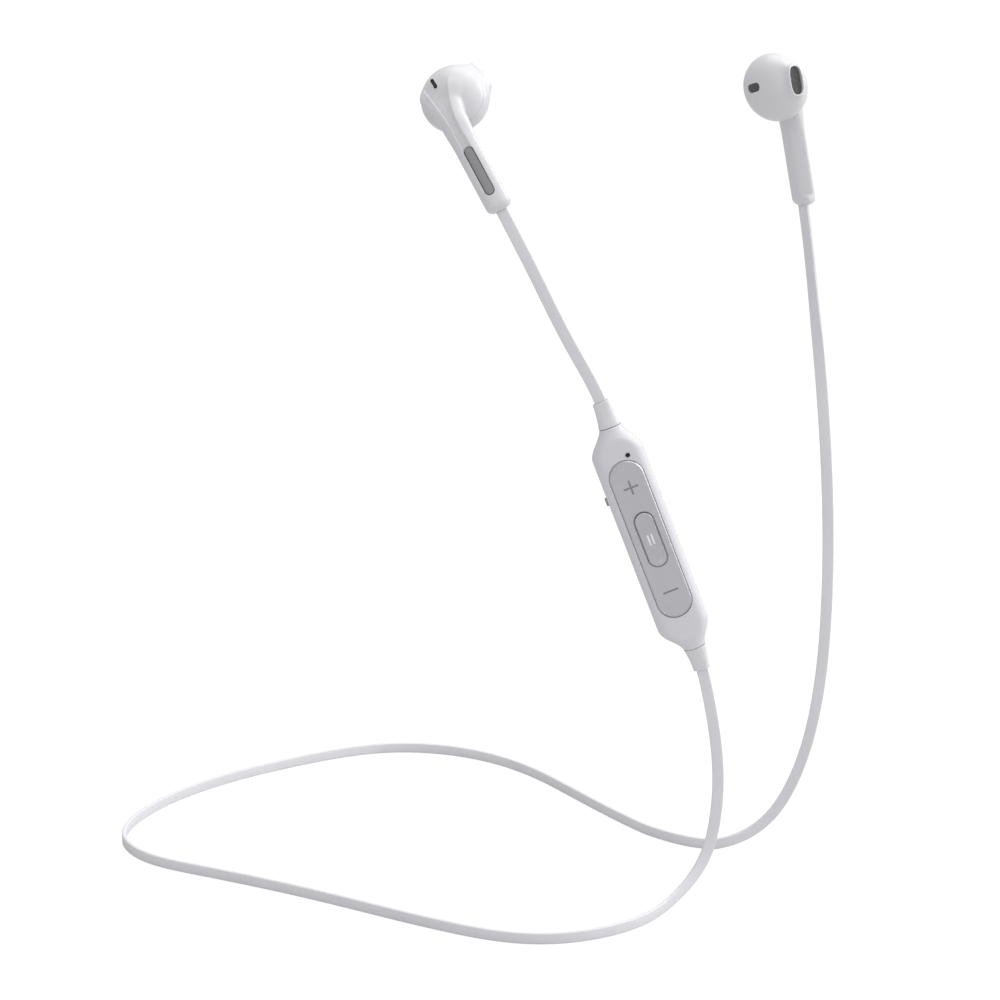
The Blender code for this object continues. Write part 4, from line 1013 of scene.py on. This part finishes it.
# The nozzle's mouth is turned a little about its own axis
MOUTH_TURN = math.radians(9.0)
MOUTH_UP = NOZZLE_UP * math.cos(MOUTH_TURN) - NOZZLE_ACROSS * math.sin(MOUTH_TURN)
MOUTH_ACROSS = NOZZLE_ACROSS * math.cos(MOUTH_TURN) + NOZZLE_UP * math.sin(MOUTH_TURN)
MOUTH_CENTRE = HEAD_CENTRE + NOZZLE_UP * 0.4
MOUTH_POWER = 2.9


def spine(z):
    """How far the stem's middle leans towards the ear at height z."""
    share = np.maximum(z - 23.5, 0.0) / 16.0
    return 5.0 * share * share


def bud_base(points):
    """Stem flared at the top and blended into the ellipsoid head."""
    x, y, z = points[:, 0], points[:, 1], points[:, 2]
    half_x = 3.45 + 0.35 * ease((z - 19.0) / 8.0) + 2.0 * ease((z - 27.0) / 10.0)
    half_y = 2.22 + 0.48 * ease((z - 22.0) / 6.0)
    power = 2.3 + 0.2 * ease((z - 22.0) / 6.0)
    off_y = np.abs(y - spine(z) - 0.02) / half_y
    radial = ((np.abs(x) / half_x) ** power + off_y ** power
              + (np.maximum(z - 35.5, 0.0) / 5.2) ** power) ** (1 / power)
    side = (radial - 1.0) * half_y
    # the flare is held to the head's outline
    outline = (np.hypot((x - HEAD_CENTRE[0]) / HEAD_HALF[0],
                        (z - HEAD_CENTRE[2]) / HEAD_HALF[2]) - 1.0) * 8.9
    limit = outline + 0.15 - 0.75 * ease(-x / 3.0) - 45.0 * (1.0 - ease((z - 25.5) / 6.0))
    side = smooth_max(side, limit, 1.2)
    # the ear side of the stem is narrower down to a small collar at its foot
    side = side + (0.45 * ease((y + 0.6) / 1.6) * ease((x - 0.4) / 2.0)
                   * ease((z - 2.5) / 0.9) * (1.0 - ease((z - 17.0) / 8.0)))
    stem = smooth_max(side, -z, 2.1)
    collar = (ease((3.1 - z) / 0.9) * ease((z - 0.2) / 1.5)
              * ease((x - 0.8) / 2.0) * ease((y - 0.5) / 1.2))
    stem = stem - 0.24 * collar
    offset = (points - HEAD_CENTRE) / HEAD_HALF
    head = (np.sqrt((offset ** 2).sum(axis=1)) - 1.0) * 7.9
    blend = 0.35 + 2.3 * ease((z - 30.5) / 7.0) * ease((2.2 - y) / 3.0)
    return smooth_min(stem, head, blend)


def trough(x, y, z):
    """Depth of the trough that fans out from the inlay to the slot, less the ridges beside it."""
    high_x = 0.85 + 0.00432 * np.maximum(z - 23.0, 0.0) ** 2.4 + 0.055 * np.maximum(23.0 - z, 0.0)
    low_x = -1.2 - 0.0374 * np.maximum(z - 24.0, 0.0) ** 1.5
    share = (x - low_x) / (high_x - low_x)
    live = ease((z - 13.0) / 4.0) * (1.0 - ease((z - 35.4) / 4.6))
    wall = ease((x - low_x) / 0.24)
    cove = 1.0 - np.clip(share, 0.0, 1.0) ** 3.0
    deepest = np.minimum(0.29 * (high_x - low_x), 0.85)
    depth = live * np.where((share > 0) & (share < 1), wall * cove * deepest, 0.0)
    high_ridge = (0.16 * np.exp(-(np.maximum(x - high_x, 0.0) / 1.1) ** 2)
                  * (share >= 1) * ease((x - high_x) / 0.18))
    low_ridge = (0.10 * np.exp(-(np.maximum(low_x - x, 0.0) / 0.7) ** 2)
                 * (share <= 0) * ease((low_x - x) / 0.12))
    outer_side = ease((spine(z) + 0.4 - y) / 1.2)
    return (depth - live * (high_ridge + low_ridge)) * outer_side


def nozzle_tube(points, half_across, half_up):
    """Field of an endless tube along the nozzle, and the distance along it."""
    offset = points - MOUTH_CENTRE
    along = offset @ NOZZLE_DIR
    radial = (np.abs(offset @ MOUTH_ACROSS / half_across) ** MOUTH_POWER
              + np.abs(offset @ MOUTH_UP / half_up) ** MOUTH_POWER) ** (1 / MOUTH_POWER)
    return (radial - 1.0) * half_across, along


def bud_body(points):
    return bud_base(points) + trough(points[:, 0], points[:, 1], points[:, 2])


def bud_skin(points):
    """Body with the nozzle's boss, which ends 9.55 along its axis."""
    tube, along = nozzle_tube(points, half_across=2.22, half_up=4.06)
    boss = np.maximum(smooth_max(tube, along - 9.55, 0.45), 2.0 - along)
    return smooth_min(bud_body(points), boss, 1.5)


def hollowed(points, outline, height, width, zone):
    """Skin with a soft lip round an opening's outline, less the inside."""
    lip = height * np.exp(-((outline - width) / width) ** 2) * zone
    return np.maximum(bud_skin(points) - lip, -(bud_body(points) + BUD_WALL))


def rear_bud(points):
    """Outer cover: stem and back of the head, with inlay recess, slot and cable hole."""
    x, y, z = points[:, 0], points[:, 1], points[:, 2]
    slot = pill_field(x, z, *SLOT_AT, length=3.2, width=1.0, tilt=SLOT_TILT)
    cover = hollowed(points, slot, height=0.08, width=0.16, zone=y < 3.0)
    cover = np.maximum(cover, y - (RIM_Y - SEAM_GAP))
    inlay = pill_field(x, z, 0.0, INLAY_Z, length=INLAY_LEN + 0.36, width=2.72)
    cover = smooth_max(cover, -np.maximum(inlay, y + 1.15), 0.14)
    cover = smooth_max(cover, -np.maximum(slot, y - 3.1), 0.10)
    hole = np.maximum(np.abs(x) - 1.80, np.abs(y - CABLE_Y) - 0.76)
    # the foot's edge is cut up in a curve where the ribbon leaves it on the ear side
    scoop = np.hypot((x - 1.2) * 1.1, z + 0.02) - 0.76
    hole = np.minimum(hole, np.maximum(scoop, 0.8 - y))
    return smooth_max(cover, -np.maximum(hole, z - 4.0), 0.12)


def front_bud(points):
    """Ear-side cover with the nozzle's bore and the vent."""
    x, y, z = points[:, 0], points[:, 1], points[:, 2]
    tube, along = nozzle_tube(points, half_across=1.76, half_up=3.62)
    # the vent is long in x, so x and z change places
    vent = pill_field(z, x, VENT_AT[1], VENT_AT[0], length=4.6, width=2.2, tilt=VENT_TILT)
    cover = hollowed(points, vent, height=0.07, width=0.2, zone=y > 9.0)
    cover = np.maximum(cover, (RIM_Y + SEAM_GAP) - y)
    cover = smooth_max(cover, -np.maximum(tube, 4.0 - along), 0.2)
    return smooth_max(cover, -np.maximum(vent, 10.5 - y), 0.16)


# ------------------------------------------------------------------ earbud fittings

# Cloth outlines, half sizes
NOZZLE_CLOTH = (1.66, 3.54)
VENT_CLOTH = (2.27, 1.1)
VENT_STRAIGHT = 1.17        # half length of the vent cloth's straight sides


def stem_surface(x, z):
    """y of the outer face over (x, z), found by halving."""
    low, high = np.full(len(x), -6.0), np.full(len(x), 3.0)
    for _ in range(30):
        middle = 0.5 * (low + high)
        outside = bud_base(np.stack((x, middle, z), 1)) > 0
        low, high = np.where(outside, middle, low), np.where(outside, high, middle)
    return low


def weave(inside, half_a, half_b, place, pitch=0.30, wire=0.055, sway=0.05, sides=5):
    """Two sets of wires that pass over and under each other, trimmed to an outline."""
    verts, faces = [], []
    for axis in (0, 1):
        half_run, half_set = (half_a, half_b) if axis == 0 else (half_b, half_a)
        count = int(half_set / pitch)
        for i in range(-count, count + 1):
            offset = i * pitch
            stations = [run for run in np.arange(-half_run, half_run + 1e-6, pitch / 4.0)
                        if inside(*((run, offset) if axis == 0 else (offset, run)))]
            if len(stations) < 4:
                continue
            phase = (1 if i % 2 else -1) * (1 if axis == 0 else -1)
            base = len(verts)
            for run in stations:
                lift = sway * phase * math.cos(math.pi * run / pitch)
                for shift, rise in circle(offset, lift, wire, sides):
                    flat = (run, shift) if axis == 0 else (shift, run)
                    verts.append(place(*flat, rise))
            for j in range(len(stations) - 1):
                this, after = base + j * sides, base + (j + 1) * sides
                for k in range(sides):
                    m = (k + 1) % sides
                    faces.append((this + k, this + m, after + m, after + k))
            last = base + (len(stations) - 1) * sides
            faces.append(tuple(base + k for k in range(sides)))
            faces.append(tuple(last + k for k in range(sides)))
    return verts, faces


def inlay():
    """Bar with a softened edge, its face curved across the stem."""
    def ring(inset, drop, flat_y=None):
        outline = pill(INLAY_Z, 0.0, INLAY_LEN - 2 * inset, 2.42 - 2 * inset, arc=20, side=30)
        return [(x, -2.13 + drop + 0.12 * (x / 1.2) ** 2 if flat_y is None else flat_y, z)
                for z, x in outline]
    rings = [ring(0.0, 0.0, flat_y=-1.55), ring(0.0, 0.14), ring(0.05, 0.05), ring(0.14, 0.0)]
    rings += [ring(0.14 + 0.98 * i / 5.0, 0.0) for i in range(1, 6)]
    return loft(rings)


def mouth_point(across, up, along):
    return MOUTH_CENTRE + MOUTH_ACROSS * across + MOUTH_UP * up + NOZZLE_DIR * along


def vent_point(long, short, y):
    return np.array((VENT_AT[0] + long * VENT_COS + short * VENT_SIN, y,
                     VENT_AT[1] - long * VENT_SIN + short * VENT_COS))


def nozzle_cloth():
    half_across, half_up = NOZZLE_CLOTH
    return weave(lambda across, up: ((abs(across) / half_across) ** MOUTH_POWER
                                     + (abs(up) / half_up) ** MOUTH_POWER < 1),
                 half_across, half_up,
                 lambda across, up, lift: mouth_point(across, up, 8.98 + lift))


def vent_cloth():
    """Cloth bowed slightly along its length."""
    half_long, radius = VENT_CLOTH
    return weave(lambda long, short: math.hypot(max(abs(long) - VENT_STRAIGHT, 0), short) < radius,
                 half_long, radius,
                 lambda long, short, lift: vent_point(long, short,
                                                      12.78 + lift - 0.016 * long * long))


def nozzle_backing():
    # distance along the nozzle, inset of the outline
    return loft([[mouth_point(across, up, along)
                  for across, up in superellipse(1.82 - inset, 3.68 - inset, 0.69, 48)]
                 for along, inset in ((8.50, 0.05), (8.54, 0.0), (8.74, 0.0), (8.78, 0.05))])


def vent_backing():
    # y, inset of the outline
    return loft([[vent_point(long, short, y) for long, short
                  in pill(0.0, 0.0, 4.9 - 2 * inset, 2.5 - 2 * inset, arc=16, side=8)]
                 for y, inset in ((12.24, 0.05), (12.28, 0.0), (12.40, 0.0), (12.44, 0.05))])


def slot_shade_plug():
    """Near-black plug below the rear slot that follows the stem's surface: it stands in for the
    black vent mesh and paints the shade inside the slot.
    """
    cos, sin = math.cos(SLOT_TILT), math.sin(SLOT_TILT)
    rings = []
    for inset, depth in ((0.0, 0.70), (0.0, 0.46), (0.04, 0.42)):
        outline = pill(0.0, 0.0, 3.4 - 2 * inset, 1.2 - 2 * inset, arc=12, side=8)
        x = SLOT_AT[0] - sin * outline[:, 0] + cos * outline[:, 1]
        z = SLOT_AT[1] + cos * outline[:, 0] + sin * outline[:, 1]
        rings.append(np.column_stack((x, stem_surface(x, z) + depth, z)))
    return loft(rings)


# ------------------------------------------------------------------ earbuds

# name, (points, faces), material, sharp angle, slot, CAD nodes; shared by both sides
BUD_PARTS = (
    ("rear_cover", net(rear_bud, (-8.5, -4.0, -0.8), (14.0, 4.4, 44.5), BUD_CELL),
     SHELL, 40.0, "white_casing", ("rear_shell",)),
    ("front_cover", net(front_bud, (-8.5, 3.2, 23.0), (14.0, 14.6, 44.5), BUD_CELL),
     SHELL, 40.0, "white_casing", ("front_shell",)),
    ("inlay", inlay(), INLAY, 35.0, "inlay_grey", ("stem_inlay",)),
    ("nozzle_cloth", nozzle_cloth(), WIRE, 60.0, "mesh_black", ()),
    ("nozzle_backing", nozzle_backing(), DARK, 40.0, "mesh_black", ("nozzle_mesh",)),
    ("vent_cloth", vent_cloth(), WIRE, 60.0, "mesh_black", ()),
    # near-black plug in the rear slot: black vent mesh with painted shade
    ("slot_shade_plug", slot_shade_plug(), DARK, 40.0, "mesh_black", ("rear_vent_mesh",)),
    ("vent_backing", vent_backing(), DARK, 40.0, "mesh_black", ("face_vent_mesh",)))


def bud(side, exit_point, stem, out, mirror):
    y = -(out - stem * out.dot(stem)).normalized()
    x = y.cross(stem).normalized()
    origin = Vector(exit_point) - y * CABLE_Y
    for name, (points, faces), material, sharp, slot, nodes in BUD_PARTS:
        netted = isinstance(faces, np.ndarray)      # net skins are already wound outward
        if netted and mirror < 0:
            faces = faces[:, ::-1]
        mesh = to_mesh(place_points(points, x, y, stem, origin, mirror), faces)
        ob = show("%s_%s" % (side, name), mesh, material, sharp=sharp, fix=not netted)
        attach(ob, "%s_earbud" % side, slot, *["%s_%s" % (side, node) for node in nodes])


bud("right", RIGHT_EXIT, RIGHT_STEM, RIGHT_OUT, mirror=1.0)
bud("left", LEFT_EXIT, LEFT_STEM, LEFT_OUT, mirror=-1.0)

# ------------------------------------------------------------------ finishes for kept CAD nodes

CAD_FINISH = {
    "main_circuit_board": BOARD, "radio_chip": CHIP, "chip_antenna": CERAMIC,
    "battery_cell": FOIL, "battery_tab": STEEL, "volume_up_dome": STEEL,
    "volume_down_dome": STEEL, "play_dome": STEEL, "microphone_capsule": STEEL,
    "microphone_gasket": GASKET, "rocker_yoke": MOULD, "charge_socket_shell": STEEL,
    "charge_socket_tongue": CHIP}
for side in ("right", "left"):
    CAD_FINISH.update({
        "%s_driver_frame" % side: MOULD, "%s_driver_magnet" % side: MAGNET,
        "%s_cable_clamp" % side: MOULD, "%s_diaphragm" % side: FILM,
        "%s_voice_coil" % side: COPPER})
for node, material in CAD_FINISH.items():
    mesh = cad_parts[node].data
    mesh.materials.clear()
    mesh.materials.append(material)

# ------------------------------------------------------------------ floor (metres from here on)

FLOOR_HALF = 9.0
FLOOR_Z = -0.00005


def floor_material():
    """Pale floor that mostly glows to the camera but gives back less light to the product."""
    material, tree, bsdf = new_material("floor_pale")
    glow = add_node(tree, "Emission", {"Color": (1.0, 1.0, 1.0, 1.0), "Strength": 1.06})
    seen = add_node(tree, "LightPath", {}).outputs["Is Camera Ray"]
    share = map_range(tree, seen, (0.0, 1.0), (0.0, 0.86))
    # darker to every ray but the camera's, so undersides stay shaded
    tone = add_node(tree, "Mix", {
        0: seen, 6: (0.55, 0.55, 0.555, 1.0), 7: (0.92, 0.92, 0.92, 1.0)}, data_type="RGBA")
    grain = add_node(tree, "TexNoise", {"Scale": 900.0})
    bump = add_node(tree, "Bump", {"Height": grain.outputs["Fac"], "Distance": 2e-5})
    bsdf.inputs["Base Color"].default_value = (0.9, 0.9, 0.9, 1.0)
    feed(tree, bsdf, {"Base Color": tone.outputs[2], "Roughness": 0.9,
                      "Normal": bump.outputs["Normal"]})
    mix = add_node(tree, "MixShader", {0: share, 1: bsdf.outputs[0], 2: glow.outputs[0]})
    feed(tree, tree.nodes["Material Output"], {"Surface": mix.outputs[0]})
    return material


def build_floor():
    mesh = bpy.data.meshes.new("floor")
    corners = [(x * FLOOR_HALF, y * FLOOR_HALF, FLOOR_Z)
               for x, y in ((-1, -1), (1, -1), (1, 1), (-1, 1))]
    mesh.from_pydata(corners, [], [(0, 1, 2, 3)])
    mesh.materials.append(floor_material())
    floor = bpy.data.objects.new("floor", mesh)
    bpy.context.scene.collection.objects.link(floor)


build_floor()

# ------------------------------------------------------------------ light and camera


def softbox(name, energy, size, location, target, colour=(1.0, 1.0, 1.0)):
    light = bpy.data.lights.new(name, "AREA")
    light.energy = energy
    light.shape = "RECTANGLE"
    light.size, light.size_y = size
    light.color = colour
    ob = bpy.data.objects.new(name, light)
    ob.location = location
    aim = Vector(target) - Vector(location)
    ob.rotation_euler = aim.to_track_quat("-Z", "Y").to_euler()
    bpy.context.scene.collection.objects.link(ob)


softbox("key_right", energy=8.0, size=(0.6, 1.0),
        location=(1.15, 0.10, 0.75), target=(0.03, 0.0, 0.12))
softbox("top_soft", energy=6.3, size=(1.3, 1.0),
        location=(0.15, 0.25, 1.35), target=(0.0, 0.0, 0.1))
softbox("front_fill", energy=2.7, size=(1.2, 1.2),
        location=(-0.5, -1.5, 0.55), target=(0.0, 0.0, 0.12), colour=(0.97, 0.97, 1.0))


def build_world():
    """White to the camera; as light, brighter towards +x and upward."""
    world = bpy.data.worlds.new("studio")
    bpy.context.scene.world = world
    world.use_nodes = True
    tree = world.node_tree
    coords = add_node(tree, "TexCoord", {}).outputs["Generated"]
    split = add_node(tree, "SeparateXYZ", {"Vector": coords})
    sideways = map_range(tree, split.outputs["X"], (-1.0, 1.0), (0.54, 1.08))
    upward = map_range(tree, split.outputs["Z"], (-0.2, 1.0), (0.75, 1.15))
    product = add_node(tree, "Math", {0: sideways, 1: upward}, operation="MULTIPLY")
    seen = add_node(tree, "LightPath", {}).outputs["Is Camera Ray"]
    strength = add_node(tree, "Mix", {0: seen, 2: product.outputs["Value"], 3: 1.0},
                        data_type="FLOAT")
    feed(tree, tree.nodes["Background"], {
        "Strength": strength.outputs[0], "Color": (0.985, 0.985, 1.0, 1.0)})


def build_camera():
    lens = bpy.data.cameras.new("camera")
    camera = bpy.data.objects.new("camera", lens)
    bpy.context.scene.collection.objects.link(camera)
    lens.sensor_width = 36.0
    lens.lens = 98.28
    lens.clip_start, lens.clip_end = 0.01, 30.0
    camera.location = tuple(to_metres((8.0, -742.0, 300.0)))
    camera.rotation_euler = (math.radians(75.0), 0.0, 0.0)
    bpy.context.scene.camera = camera


build_world()
build_camera()
bpy.context.scene.view_settings.view_transform = "Standard"

bpy.context.view_layer.update()
